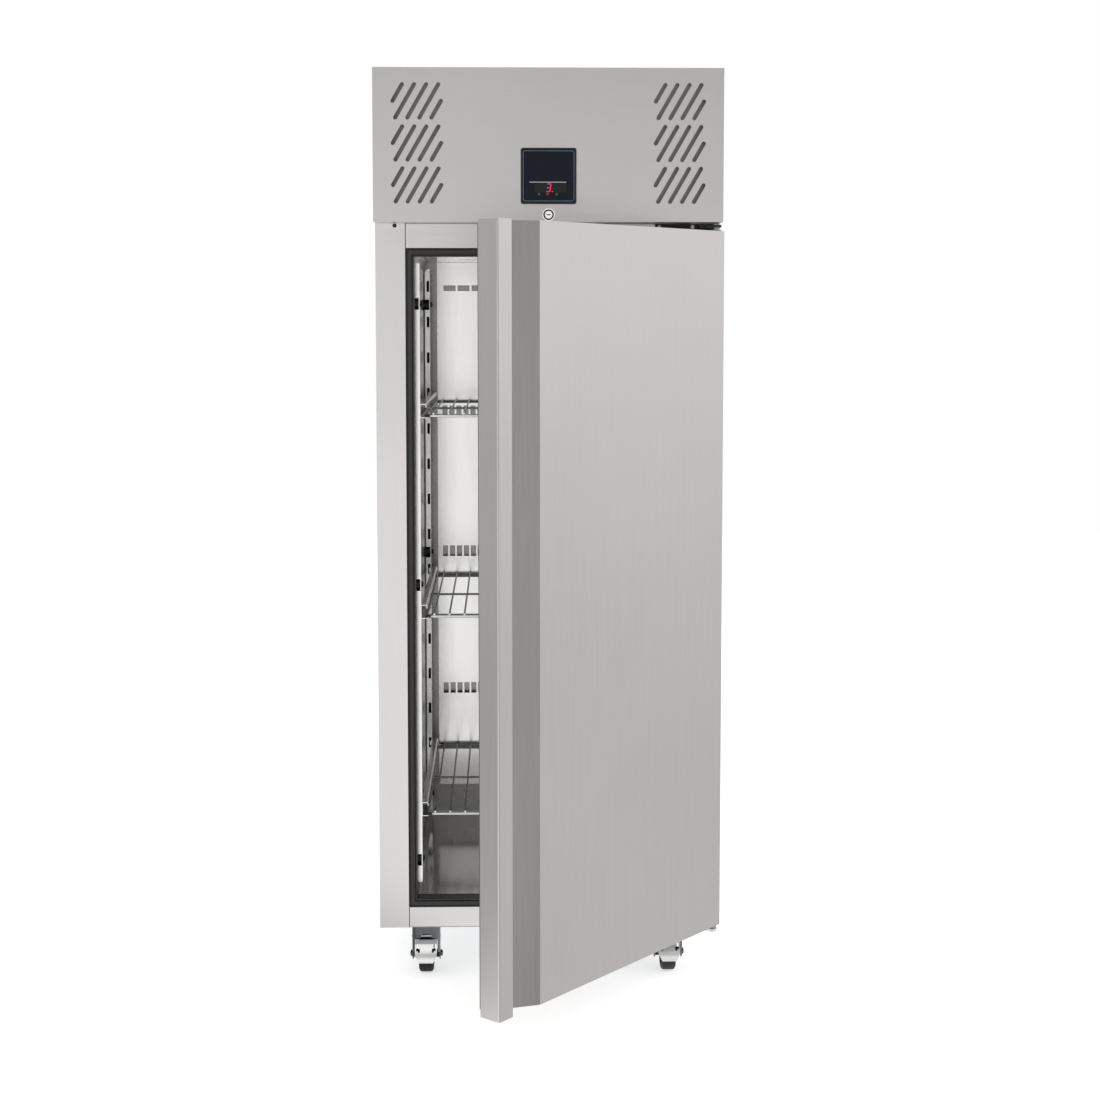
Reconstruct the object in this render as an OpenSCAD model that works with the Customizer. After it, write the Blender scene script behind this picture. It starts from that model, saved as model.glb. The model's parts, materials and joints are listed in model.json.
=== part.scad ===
/* [Cabinet] */
// Width over the side panels
cab_w = 730; // [690:5:780]
// Height from the floor to the top of the header
cab_h = 1960; // [1880:10:2060]
// Depth from the front face to the back panel
body_d = 764; // [730:5:860]
// Height of the cabinet's underside above the floor
castor_h = 120; // [116:1:140]
// Height of the header
header_h = 318; // [300:2:340]
// How far the header stands in front of the front face
header_out = 60; // [60:1:66]
// Width of each front stile
stile_w = 63; // [56:1:72]
// Height of the top front rail
rail_top_h = 52; // [46:1:60]
// Height of the bottom front rail
rail_bot_h = 45; // [40:1:60]
// Width of the dark breaker strip round the opening
breaker_w = 18; // [14:1:22]
// Thickness of the outer sheet metal
skin_t = 1; // [0.8:0.1:1.5]
// Thickness of the liner sheet
liner_t = 1; // [0.8:0.1:1.5]
// Foam thickness behind the liner
foam_back_t = 50; // [40:1:60]

/* [Door] */
// Width of the door
door_w = 728; // [688:1:778]
// Thickness of the door leaf
door_t = 47; // [45:1:50]
// Gap above and below the door
door_gap = 18; // [16:1:24]
// Gap between the door leaf and the front face, filled by the gasket
seal_gap = 12; // [10:0.5:14]
// Opening angle at which the door stands
door_open = 49.3; // [0:0.1:105]
// Distance of the hinge axis from the door's side edge
pivot_in = 12; // [10:0.5:16]
// Distance of the hinge axis from the door's front face
pivot_back = 14; // [12:0.5:18]
// Width of the flat lip along the free edge
lip_w = 41; // [34:1:50]
// Distance from the free edge to where the grip's slope starts
grip_w = 119; // [105:1:135]
// Depth of the grip
grip_depth = 35; // [24:1:36]
// Radius of the hinge pins
pin_r = 5; // [4:0.5:6]

/* [Interior] */
// Width of a shelf
shelf_w = 530; // [500:5:540]
// Gap between a shelf and the duct panel behind it
shelf_gap = 9; // [6:1:30]
// Height of the lowest shelf above the floor
shelf_low = 360; // [320:1:400]
// Vertical distance between two slots of an upright
slot_pitch = 87.2; // [80:0.1:95]
// Number of slot pitches between two shelves
shelf_steps = 5; // [3:1:5]
// Wire diameter of the shelf's frame
frame_wire = 6; // [5:0.5:8]
// Wire diameter of the shelf's bars
bar_wire = 4; // [3:0.5:5]
// Number of bars in a shelf
bar_count = 16; // [10:1:20]
// Depth of the channel section of an upright
upright_d = 12; // [10:0.5:14]
// Height of the air slots in the duct panel
duct_slot_h = 27; // [20:1:32]

/* [Front] */
// Side of the square controller
controller_w = 116; // [104:1:124]
// Radius of the lock's flange
lock_r = 13; // [12.5:0.5:14]
// Width of a vent slot
vent_w = 8.5; // [6:0.5:10]
// Rise of a full vent slot from end centre to end centre
vent_h = 68; // [56:1:72]
// Vertical distance between two rows of vents
vent_pitch = 86.3; // [84:0.5:92]

/* [Castors] */
// Radius of the wheels
wheel_r = 40; // [34:1:42]
// Width of the wheels
wheel_w = 32; // [26:1:34]
// Distance from the kingpin to the wheel's axle
trail = 28; // [24:1:34]
// Distance of a kingpin from the cabinet's side
castor_in = 98; // [80:1:120]
// Distance of a kingpin from the front or the back
castor_end = 95; // [90:1:120]

/* [Refrigeration] */
// Radius of the compressor's shell
comp_r = 75; // [65:1:85]
// Height of the compressor's shell
comp_h = 165; // [140:5:190]
// Radius of the condenser fan
fan_r = 90; // [75:1:95]
// Radius of the evaporator fan
evap_fan_r = 62; // [50:1:66]
// Number of fins in the condenser
fin_count = 20; // [12:1:30]
// Height of the evaporator housing
evap_h = 215; // [190:5:230]

/* [Hidden] */
$fn = 64;
// clearances
touch = 0.2;
run = 0.05;
free = 0.3;
weld = 0.4;

// how far the open door reaches in front of the front face
door_reach = seal_gap + door_t - pivot_back
    + (door_w - pivot_in) * sin(door_open) + pivot_back * cos(door_open);
// front face and back of the cabinet, with the whole product centred on Y = 0
front_y = -(body_d - door_reach) / 2;
back_y = front_y + body_d;
side_x = cab_w / 2;
base_z = castor_h;
deck_z = cab_h - header_h;
open_x = side_x - stile_w - breaker_w;
open_lo = base_z + rail_bot_h + breaker_w;
open_hi = deck_z - rail_top_h - breaker_w;

// liner: its inner faces and how deep the breaker reaches in front of it
breaker_d = 25;
liner_step = 6;
liner_x = open_x + liner_step;
liner_lo = open_lo - liner_step;
liner_hi = open_hi + liner_step;
liner_front = front_y + breaker_d;
liner_back = back_y - skin_t - foam_back_t - liner_t;
liner_r = 14;
hem = 20;
seam = 1.2;
base_t = 1.5;

// air duct behind the rear panel, and the way up to the evaporator
duct_d = 18;
duct_x = liner_x - 30;
duct_front = liner_back - duct_d;
duct_lo = liner_lo + 82;
duct_rows = [147, 60, -24];
airway_x = 200;
return_d = 40;

// door
door_lo = base_z + door_gap;
door_hi = deck_z - door_gap;
door_front = front_y - seal_gap - door_t;
door_back = front_y - seal_gap;
pivot_x = door_w / 2 - pivot_in;
pivot_y = door_front + pivot_back;
cap_t = 2;
return_w = 14;
seal_in = 8;
seal_w = 20;
bush_r = pin_r + 3;
bush_l = 30;
bush_flange = 3;

// hinge brackets
strap_t = 4;
strap_h = 13;
strap_x = pivot_x - 125;
lug_t = 5;
lug_r = 11;
lug_drop = (door_gap - bush_flange - lug_t) / 2;
screw_xs = [pivot_x - 116, pivot_x - 46];
screw_r = 4;

// header, controller and lock
header_front = front_y - header_out;
vent_x = side_x - 92;
controller_z = deck_z + 95;
bezel_out = 4;
bezel_rim = 3;
bezel_r = 5;
face_t = 1.5;
case_d = 50;
key_r = 2.5;
key_xs = [-20, -2, 16.5];
key_drop = controller_w / 2 - 20.5;
key_travel = 0.8;
key_l = 5;
lock_z = deck_z + 15;
plug_r = 6;
barrel_r = 9;
barrel_l = 24;
cam_l = 45;
cam_w = 12;
cam_t = 3;
cam_y = header_front + barrel_l - 3 + free;
plug_x = side_x - 41;
plug_z = deck_z - 5;

// uprights, slides and shelves
upright_w = 28;
upright_t = 1.5;
upright_off = 3;
upright_x = liner_x - upright_off;
upright_lo = liner_lo + 25;
upright_hi = liner_hi - 18;
upright_ys = [front_y + 75, duct_front - 60];
stud_r = 7;
spacer_r = 12;
notch_h = 26;
stud_drop = 32;
upright_round = 10;
slide_in = 14;
slide_t = 1.2;
slide_h = 30;
slide_r = 4;
slide_lip = 8;
slide_x = upright_x - upright_d - touch;
slide_front = front_y + 42;
shelf_front = front_y + 40;
shelf_d = duct_front - shelf_gap - shelf_front;
shelf_zs = [for (i = [0:2]) shelf_low + i * shelf_steps * slot_pitch];
slot_h = 26;

// castors: plate, raceway and fork
plate_t = 3;
race_h = 12;
race_r = 31;
fork_t = 3;
fork_gap = 3;
axle_r = 4;
kingpin_r = 6;
pin_head = 4;
fork_z = castor_h - plate_t - free;
fork_in = wheel_w / 2 + fork_gap;
castor_places = [
    [-(side_x - castor_in), front_y + castor_end],
    [side_x - castor_in, front_y + castor_end],
    [-(side_x - castor_in), back_y - castor_end],
    [side_x - castor_in, back_y - castor_end]
];
// housing of the fork: half width, reach in front of and behind the kingpin, lower edge
skirt_x = 31;
skirt_front = trail + 26;
skirt_back = 24;
skirt_r = 9;
skirt_t = 2.5;
skirt_z = 2 * wheel_r - 1;
leg_in = skirt_x - skirt_t;
nut_l = 4;
boss_r = 9;
// how far down the housing's front corners reach beside the pedal
cheek_z = wheel_r + 10;
pedal_w = 48;
pedal_t = 3;
pedal_pin_r = 3;
pedal_hub_r = 6;
pedal_bend = wheel_r + 22.3;
// pedal's pivot above the tyre's front and the centre of its bend, from the kingpin and the floor
pedal_pivot = [-trail - 16, 2 * wheel_r + 4];
pedal_mid = [-trail + 7.8, wheel_r - 8.2];
pedal_arc = [128.8, 177];

// refrigeration unit on the deck
unit_z = deck_z;
comp_foot = 14;
comp_place = [-side_x + 175, front_y + 190];
drier_l = 70;
drier_gap = 59;
pipe_in = 52;
cond_x = [side_x - 315, side_x - 45];
cond_y = front_y + 30;
cond_d = 50;
cond_rows = 4;
cond_z = [unit_z + 14, unit_z + 14 + 2 * fan_r + 34];
fan_place = [(cond_x[0] + cond_x[1]) / 2, (cond_z[0] + cond_z[1]) / 2];
shroud_y = cond_y + cond_d + 2;
shroud_d = 34;
motor_r = 36;
motor_l = 55;
shaft_r = 4;
tube_out = 9;
evap_wall = 22;
evap_x = side_x - 105;
evap_back = 24;
evap_d = 321;
evap_y = [back_y - evap_back - evap_d, back_y - evap_back];
evap_coil_y = evap_y[0] + evap_wall + return_d + 10;
evap_coil_d = 60;
evap_fan_z = unit_z + evap_wall + evap_fan_r + 12;
evap_fan_y = evap_coil_y + evap_coil_d + 30;

// general shapes

module box(lo, hi) {
    translate(lo) cube(hi - lo);
}

// rectangle with round corners, centred
module round_rect(w, h, r) {
    square([w - 2 * r, h], center = true);
    square([w, h - 2 * r], center = true);
    for (x = [-1, 1], y = [-1, 1])
        translate([x * (w / 2 - r), y * (h / 2 - r)]) circle(r);
}

// slot with round ends from a to b
module slot(a, b, w) {
    along = b - a;
    translate(a) rotate(atan2(along[1], along[0])) {
        translate([0, -w / 2]) square([norm(along), w]);
        rotate(180) circle(w / 2);
        translate([norm(along), 0]) circle(w / 2);
    }
}

// flat shape drawn in X and Z, made t deep towards +Y from y
module upright_plate(y, t) {
    translate([0, y + t, 0]) rotate([90, 0, 0]) linear_extrude(t) children();
}

// straight round bar along an axis given by its rotation
module rod_y(x, y, z, r, l) {
    translate([x, y, z]) rotate([-90, 0, 0]) cylinder(r = r, h = l);
}

module rod_x(x, y, z, r, l) {
    translate([x, y, z]) rotate([0, 90, 0]) cylinder(r = r, h = l);
}

module mirrored(side) {
    mirror([side < 0 ? 1 : 0, 0, 0]) children();
}

function unit(v) = v / norm(v);
function flip(points) = [for (i = [len(points) - 1:-1:0]) points[i]];

// closed outline moved inwards by d, its points running clockwise
function edge_normal(a, b) = [b[1] - a[1], a[0] - b[0]] / norm(b - a);
function cross2(a, b) = a[0] * b[1] - a[1] * b[0];
function inset(p, d) = [
    for (i = [0:len(p) - 1])
        let (
            a = p[(i + len(p) - 1) % len(p)], b = p[i], c = p[(i + 1) % len(p)],
            n = edge_normal(a, b), m = edge_normal(b, c)
        )
        b + d * (n + m) / (1 + n * m)
];

// arc from angle a0 to a1 about c
function arc(c, r, a0, a1, steps = 4) =
    [for (i = [0:steps]) let (a = a0 + (a1 - a0) * i / steps) c + r * [cos(a), sin(a)]];

// cabinet shell

// one side panel: side sheet, front stile with its inner hem, rear return
module side_panel(side) {
    color("silver") mirrored(side) {
        inner = side_x - stile_w;
        translate([0, 0, base_z]) linear_extrude(cab_h - base_z) {
            translate([side_x - skin_t, front_y]) square([skin_t, body_d]);
            translate([side_x - hem, back_y - skin_t]) square([hem, skin_t]);
            translate([side_x - hem, front_y]) square([hem, skin_t]);
        }
        difference() {
            translate([inner, front_y, base_z]) cube([stile_w, skin_t, deck_z - base_z]);
            if (side < 0)
                rod_y(plug_x, front_y - 1, plug_z, key_r + 0.5, skin_t + 2);
        }
        box([inner, front_y, base_z + base_t + touch],
            [inner + skin_t, front_y + hem, deck_z - skin_t - touch]);
    }
}

module side_panel_left() side_panel(-1);
module side_panel_right() side_panel(1);

// back sheet with a top return
module back_panel() {
    color("gainsboro") {
        w = side_x - hem - touch;
        box([-w, back_y - skin_t, base_z], [w, back_y, deck_z]);
        box([-w, back_y - skin_t - hem, deck_z - skin_t], [w, back_y - skin_t, deck_z]);
    }
}

// bottom sheet with a hollow-folded rear lip
module base_pan() {
    color("silver") {
        w = side_x - skin_t - touch;
        box([-w, front_y + skin_t + touch, base_z], [w, back_y - skin_t - touch, base_z + base_t]);
    }
}

// top sheet of the insulated box, open where the air goes up and down
module deck_panel() {
    color("gainsboro") difference() {
        w = side_x - skin_t - touch;
        box([-w, front_y + skin_t + touch, deck_z - skin_t],
            [w, back_y - skin_t - hem - touch, deck_z]);
        airways(deck_z - skin_t - 1, deck_z + 1);
    }
}

// the two airways through the ceiling
module airways(z0, z1) {
    box([-airway_x, evap_y[0] + evap_wall + 4, z0],
        [airway_x, evap_y[0] + evap_wall + 4 + return_d, z1]);
    box([-airway_x, duct_front + 3, z0], [airway_x, liner_back - 1, z1]);
}

// folded front rail between the stiles
module rail(z0, z1) {
    w = side_x - stile_w - seam;
    color("silver") {
        box([-w, front_y, z0], [w, front_y + skin_t, z1]);
        box([-w, front_y, z0], [w, front_y + hem, z0 + skin_t]);
        box([-w, front_y, z1 - skin_t], [w, front_y + hem, z1]);
    }
}

top_rail_z = [deck_z - rail_top_h, deck_z - skin_t - touch];
bottom_rail_z = [base_z + base_t + touch, base_z + rail_bot_h];

module front_rails() {
    rail(top_rail_z[0], top_rail_z[1]);
    rail(bottom_rail_z[0], bottom_rail_z[1]);
}

// foam that fills a rail from behind
module rail_foam(z) {
    w = side_x - stile_w - seam;
    box([-w, front_y + skin_t, z[0] + skin_t], [w, liner_front, z[1] - skin_t]);
}

// one side wall of foam, stepped behind the stile
module foam_side(side) {
    color("khaki") mirrored(side) {
        translate([0, 0, base_z + base_t]) linear_extrude(deck_z - skin_t - base_z - base_t) {
            x0 = side_x - stile_w + skin_t + touch;
            x1 = side_x - skin_t - touch;
            y1 = back_y - skin_t - touch;
            translate([x0, front_y + skin_t]) square([x1 - x0, breaker_d]);
            translate([liner_x + liner_t, liner_front]) square([x1 - liner_x - liner_t, y1 - liner_front]);
        }
    }
}

module foam_left() foam_side(-1);
module foam_right() foam_side(1);

module foam_back() {
    color("khaki")
        box([-liner_x - liner_t, liner_back + liner_t, liner_lo - liner_t],
            [liner_x + liner_t, back_y - skin_t - touch, liner_hi + liner_t]);
}

module foam_floor() {
    color("khaki") {
        box([-liner_x - liner_t, liner_front, base_z + base_t],
            [liner_x + liner_t, back_y - skin_t - touch, liner_lo - liner_t]);
        rail_foam(bottom_rail_z);
    }
}

module foam_ceiling() {
    color("khaki") {
        difference() {
            box([-liner_x - liner_t, liner_front, liner_hi + liner_t],
                [liner_x + liner_t, back_y - skin_t - touch, deck_z - skin_t]);
            airways(liner_hi, deck_z);
        }
        rail_foam(top_rail_z);
    }
}

// round-cornered tank of sheet metal with a flange at its mouth
module liner() {
    w = 2 * liner_x;
    h = liner_hi - liner_lo;
    mid = (liner_hi + liner_lo) / 2;
    color("lightgray") difference() {
        translate([0, 0, mid]) {
            upright_plate(liner_front, liner_back - liner_front) difference() {
                round_rect(w + 2 * liner_t, h + 2 * liner_t, liner_r + liner_t);
                round_rect(w, h, liner_r);
            }
            upright_plate(liner_back, liner_t)
                round_rect(w + 2 * liner_t, h + 2 * liner_t, liner_r + liner_t);
        }
        airways(liner_hi - 1, liner_hi + liner_t + 1);
    }
}

// plastic strip round the opening: face, raised bead and inner leg
module breaker_ring(grow, y0, y1, t) {
    x = open_x + grow;
    lo = open_lo - grow;
    hi = open_hi + grow;
    difference() {
        box([-x - t, y0, lo - t], [x + t, y1, hi + t]);
        box([-x, y0 - 1, lo], [x, y1 + 1, hi]);
    }
}

module breaker_frame() {
    color([0.24, 0.24, 0.24]) {
        breaker_ring(0, front_y + 1.5, front_y + 4, breaker_w - touch);
        breaker_ring(0, front_y - 1, liner_front + 12, 2.2);
        breaker_ring(5, front_y - 1, front_y + 2, 8);
    }
}

// header: folded front with vents, returns all round
module vent_group(x) {
    lean = vent_h / 2 / tan(60);
    up = [lean, vent_h / 2];
    for (row = [-1:1]) translate([x, controller_row_z(row)]) {
        for (i = [-1:1]) slot([i * 25, 0] - up, [i * 25, 0] + up, vent_w);
        slot([-50, 0], [-50, 0] + up, vent_w);
        slot([50, 0] - up, [50, 0], vent_w);
    }
}

function controller_row_z(row) = (deck_z + cab_h) / 2 + 3.4 + row * vent_pitch;

// sheet channel behind one group of vents, open at its top and bottom
module air_guide(x) {
    w = 77;
    depth = 24;
    z0 = controller_row_z(-1) - vent_h / 2 - 8;
    z1 = controller_row_z(1) + vent_h / 2 + 8;
    y = header_front + skin_t - weld;
    difference() {
        box([x - w, y, z0], [x + w, y + depth, z1]);
        box([x - w + skin_t, y - 1, z0 - 1], [x + w - skin_t, y + depth - skin_t, z1 + 1]);
    }
}

module header_panel() {
    color("silver") for (x = [-vent_x, vent_x]) air_guide(x);
    color("silver") difference() {
        box([-side_x, header_front, deck_z], [side_x, front_y, cab_h]);
        box([-side_x + skin_t, header_front + skin_t, deck_z + skin_t],
            [side_x - skin_t, front_y + 1, cab_h - skin_t]);
        box([-side_x + hem, header_front + hem, cab_h - skin_t - 1],
            [side_x - hem, front_y + 1, cab_h + 1]);
        upright_plate(header_front - 1, skin_t + 2) {
            vent_group(-vent_x);
            vent_group(vent_x);
            translate([0, controller_z]) square(controller_w - 12, center = true);
            translate([0, lock_z]) circle(barrel_r + 0.2);
        }
        box([-cam_l - 2, cam_y - 2, deck_z - 1],
            [cam_w / 2 + 2, cam_y + cam_t + 2, deck_z + skin_t + 1]);
    }
}

// controller: bezel and case in one moulding, glossy face, three keys
module controller_case() {
    color([0.05, 0.05, 0.07]) difference() {
        union() {
            translate([0, 0, controller_z]) upright_plate(header_front - bezel_out, bezel_out)
                round_rect(controller_w, controller_w, bezel_r);
            translate([0, 0, controller_z]) upright_plate(header_front, case_d)
                square(controller_w - 13, center = true);
        }
        translate([0, 0, controller_z])
            upright_plate(header_front - bezel_out - 1, face_t + 2)
                round_rect(controller_w - 2 * bezel_rim, controller_w - 2 * bezel_rim, bezel_r - 1);
        for (x = key_xs)
            rod_y(x, header_front - bezel_out, controller_z - key_drop, key_r + 2,
                face_t + key_l + key_travel + 1.5);
    }
}

module controller_face() {
    w = controller_w - 2 * bezel_rim - touch;
    color([0.1, 0.12, 0.16]) difference() {
        translate([0, 0, controller_z])
            upright_plate(header_front - bezel_out + 1 - 0.6, face_t)
                round_rect(w, w, bezel_r - 1);
        for (x = key_xs)
            rod_y(x, header_front - bezel_out - 1, controller_z - key_drop,
                key_r + free, face_t + 3);
    }
}

// key with a collar behind the face
module key(i) {
    y0 = header_front - bezel_out - 0.2;
    z = controller_z - key_drop;
    color("dimgray") {
        rod_y(key_xs[i], y0, z, key_r, key_l);
        rod_y(key_xs[i], header_front - bezel_out + 0.4 + face_t + free, z, key_r + 1, 1.5);
    }
}

module key_left() key(0);
module key_middle() key(1);
module key_right() key(2);

// lock: flanged barrel, grooved round its face, with a hexagon nut behind the sheet
module lock_barrel() {
    color("gainsboro") difference() {
        union() {
            rod_y(0, header_front - 3, lock_z, lock_r, 3);
            rod_y(0, header_front - 3, lock_z, barrel_r, barrel_l);
            translate([0, header_front + skin_t, lock_z]) rotate([-90, 0, 0])
                cylinder(r = barrel_r + 3.5, h = 5, $fn = 6);
        }
        rod_y(0, header_front - 4, lock_z, plug_r + run, barrel_l + 2);
        difference() {
            rod_y(0, header_front - 4, lock_z, lock_r - 2, 3);
            rod_y(0, header_front - 5, lock_z, plug_r + 2, 5);
        }
    }
}

// plug with a key slot, its shank, the cam and the nut that holds the cam
module lock_plug() {
    color("whitesmoke") {
        difference() {
            rod_y(0, header_front - 3, lock_z, plug_r, barrel_l + free);
            box([-4.5, header_front - 4, lock_z - 1.1], [4.5, header_front + 10, lock_z + 1.1]);
        }
        difference() {
            translate([0, 0, lock_z]) upright_plate(cam_y, cam_t)
                slot([0, 0], [-cam_l + cam_w / 2, 0], cam_w);
            translate([-cam_l + 9, cam_y - 1, lock_z - 2]) cube([6, cam_t + 2, 4]);
        }
        translate([0, cam_y + cam_t, lock_z]) rotate([-90, 0, 0])
            cylinder(r = 5, h = 4, $fn = 6);
    }
}

// plug in the unused hinge hole
module hole_plug() {
    color([0.1, 0.1, 0.1]) {
        rod_y(-plug_x, front_y, plug_z, key_r, skin_t);
        translate([-plug_x, front_y, plug_z]) rotate([90, 0, 0])
            cylinder(r1 = 4.5, r2 = 3, h = 2);
    }
}

// hinges

// lug and strap of one bracket, drawn for the top
module hinge_bracket(z_lug, z_strap) {
    difference() {
        union() {
            box([strap_x, front_y - strap_t, z_strap], [side_x - 4, front_y, z_strap + strap_h]);
            translate([0, 0, z_lug]) linear_extrude(lug_t) {
                translate([pivot_x, pivot_y]) circle(lug_r);
                translate([pivot_x - 34, pivot_y]) square([34 + lug_r, front_y - pivot_y]);
                polygon([[pivot_x - 34, pivot_y], [pivot_x, pivot_y - lug_r],
                    [pivot_x, front_y], [pivot_x - 34, front_y]]);
            }
        }
        translate([pivot_x, pivot_y, z_lug - 1]) cylinder(r = pin_r + run, h = lug_t + 2);
        for (x = screw_xs)
            rod_y(x, front_y - strap_t - 1, z_strap + strap_h / 2, screw_r / 2 + 0.2, strap_t + 2);
    }
}

top_lug = door_hi + bush_flange + lug_drop;
bottom_lug = door_lo - bush_flange - lug_drop - lug_t;

module hinge_brackets() {
    color("dimgray") {
        hinge_bracket(top_lug, deck_z - 1 - strap_h);
        hinge_bracket(bottom_lug, base_z + 1);
    }
}

// pins with a head on the outer side of each lug
module hinge_pins() {
    color("silver") {
        translate([pivot_x, pivot_y, door_hi - bush_l + 2])
            cylinder(r = pin_r, h = top_lug + lug_t - door_hi + bush_l - 2);
        translate([pivot_x, pivot_y, top_lug + lug_t]) cylinder(r = pin_r + 2, h = 2);
        translate([pivot_x, pivot_y, bottom_lug])
            cylinder(r = pin_r, h = door_lo + bush_l - 2 - bottom_lug);
        translate([pivot_x, pivot_y, bottom_lug - 2]) cylinder(r = pin_r + 2, h = 2);
    }
}

module hinge_screws() {
    color("gainsboro")
        for (x = screw_xs, z = [deck_z - 1 - strap_h / 2, base_z + 1 + strap_h / 2])
            difference() {
                union() {
                    rod_y(x, front_y - strap_t - 2.5, z, screw_r, 2.5);
                    rod_y(x, front_y - strap_t, z, screw_r / 2, strap_t);
                }
                box([x - 2.4, front_y - strap_t - 3, z - 0.5], [x + 2.4, front_y - strap_t - 1.2, z + 0.5]);
                box([x - 0.5, front_y - strap_t - 3, z - 2.4], [x + 0.5, front_y - strap_t - 1.2, z + 2.4]);
            }
}

// door

// turns a closed door about the hinge axis to the angle at which it stands
module door_pose() {
    translate([pivot_x, pivot_y, 0]) rotate([0, 0, door_open])
        translate([-pivot_x, -pivot_y, 0]) children();
}

// plan outline of the door leaf, clockwise from its rear left corner, with the grip
// hooked behind the lip and its slope at 33 degrees
grip_floor = grip_w - grip_depth / tan(33);
hook_in = lip_w - 17;
lip_t = 10;
function leaf_outline() = [
    for (p = concat(
        [[0, door_t]],
        arc([3, 3], 3, 180, 270),
        arc([lip_w - 3, 3], 3, 270, 360),
        arc([lip_w - 3, lip_t - 3], 3, 0, 90, 2),
        arc([hook_in + 4, lip_t + 4], 4, 270, 180, 3),
        arc([hook_in + 8, grip_depth - 8], 8, 180, 90, 4),
        [[grip_floor, grip_depth], [grip_w, 0]],
        arc([door_w - 3, 3], 3, 270, 360),
        [[door_w, door_t]]
    )) [p[0] - door_w / 2, p[1] + door_front]
];

leaf_inner = inset(leaf_outline(), -skin_t);

module leaf_core(z0, z1) {
    translate([0, 0, z0]) linear_extrude(z1 - z0) polygon(leaf_inner);
}

// outer shell of the door, folded from one sheet, open at the back
module door_skin() {
    color("silver") door_pose() difference() {
        translate([0, 0, door_lo]) linear_extrude(door_hi - door_lo) polygon(leaf_outline());
        leaf_core(door_lo - 1, door_hi + 1);
        box([-door_w / 2 + return_w, door_back - skin_t - 1, door_lo - 1],
            [door_w / 2 - return_w, door_back + 1, door_hi + 1]);
    }
}

// holes through the door's ends: the hinge bushes and the pocket for the lock's cam
module door_end_holes(grow) {
    for (z = [door_lo - 1, door_hi - bush_l - 1])
        translate([pivot_x, pivot_y, z]) cylinder(r = bush_r + grow, h = bush_l + 2);
    drop = lock_z - door_hi;
    box([-sqrt(cam_l * cam_l - drop * drop) - 4, cam_y - 3, lock_z - cam_l - 4],
        [cam_w / 2 + 3, cam_y + cam_t + 3, door_hi + 1]);
}

module door_foam() {
    color("khaki") door_pose() difference() {
        leaf_core(door_lo + cap_t, door_hi - cap_t);
        door_end_holes(0.1);
        box([-door_w / 2, door_back - skin_t, door_lo - 1],
            [door_w / 2, door_back + 1, door_hi + 1]);
    }
}

// plates that close the two ends of the leaf
module door_caps() {
    color("gray") door_pose() difference() {
        union() {
            leaf_core(door_lo, door_lo + cap_t);
            leaf_core(door_hi - cap_t, door_hi);
        }
        door_end_holes(0.1);
        box([-door_w / 2, door_back - skin_t, door_lo - 1],
            [door_w / 2, door_back + 1, door_hi + 1]);
    }
}

// inner panel: flat rim under the gasket, raised bevelled field inside it
module door_liner() {
    rim = seal_in + seal_w + 8;
    rise = seal_gap - 5;
    x = door_w / 2;
    color("whitesmoke") door_pose() {
        box([-x + return_w + touch, door_back - skin_t, door_lo],
            [x - return_w - touch, door_back, door_hi]);
        hull() {
            box([-x + rim, door_back, door_lo + rim], [x - rim, door_back + 0.5, door_hi - rim]);
            box([-x + rim + 8, door_back, door_lo + rim + 8],
                [x - rim - 8, door_back + rise, door_hi - rim - 8]);
        }
    }
}

// one closed ring of the gasket, w wide about its middle line
module gasket_ring(w, y0, y1) {
    mid = seal_in + seal_w / 2;
    x = door_w / 2 - mid;
    difference() {
        box([-x - w / 2, y0, door_lo + mid - w / 2], [x + w / 2, y1, door_hi - mid + w / 2]);
        box([-x + w / 2, y0 - 1, door_lo + mid + w / 2], [x - w / 2, y1 + 1, door_hi - mid - w / 2]);
    }
}

// gasket with its foot, bellows and magnet head
module door_gasket() {
    head = 4;
    color([0.35, 0.36, 0.37]) door_pose() {
        gasket_ring(seal_w, door_back, door_back + 2.5);
        gasket_ring(9, door_back + 2, front_y - free - head + 0.5);
        gasket_ring(seal_w - 4, front_y - free - head, front_y - free);
    }
}

// bushes that turn on the hinge pins
module hinge_bushes() {
    color("white") door_pose() for (top = [0, 1]) {
        z = top == 1 ? door_hi - bush_l : door_lo;
        flange = top == 1 ? door_hi : door_lo - bush_flange;
        difference() {
            union() {
                translate([pivot_x, pivot_y, z]) cylinder(r = bush_r, h = bush_l);
                translate([pivot_x, pivot_y, flange]) cylinder(r = bush_r + 2.5, h = bush_flange);
            }
            translate([pivot_x, pivot_y, z - 10]) cylinder(r = pin_r + run, h = bush_l + 20);
        }
    }
}

// interior fittings

// slotted channel, its web towards the storage space
module upright_channel(y) {
    translate([0, 0, upright_lo]) linear_extrude(upright_hi - upright_lo) difference() {
        translate([upright_x - upright_d, y - upright_w / 2]) square([upright_d, upright_w]);
        translate([upright_x - upright_d + upright_t, y - upright_w / 2 + upright_t])
            square([upright_d, upright_w - 2 * upright_t]);
    }
}

// lowest slot, their number, and the studs under the first, middle and last slot
slot_end = 15;
slot_rise = 11;
slot_z0 = shelf_low + slot_rise
    - floor((shelf_low + slot_rise - upright_lo - slot_end) / slot_pitch) * slot_pitch;
slot_count = 1 + floor((upright_hi - slot_end - slot_h - slot_z0) / slot_pitch);
stud_zs = [
    for (k = [0, floor(slot_count / 2), slot_count - 1])
        slot_z0 + k * slot_pitch - stud_drop
];

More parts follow.
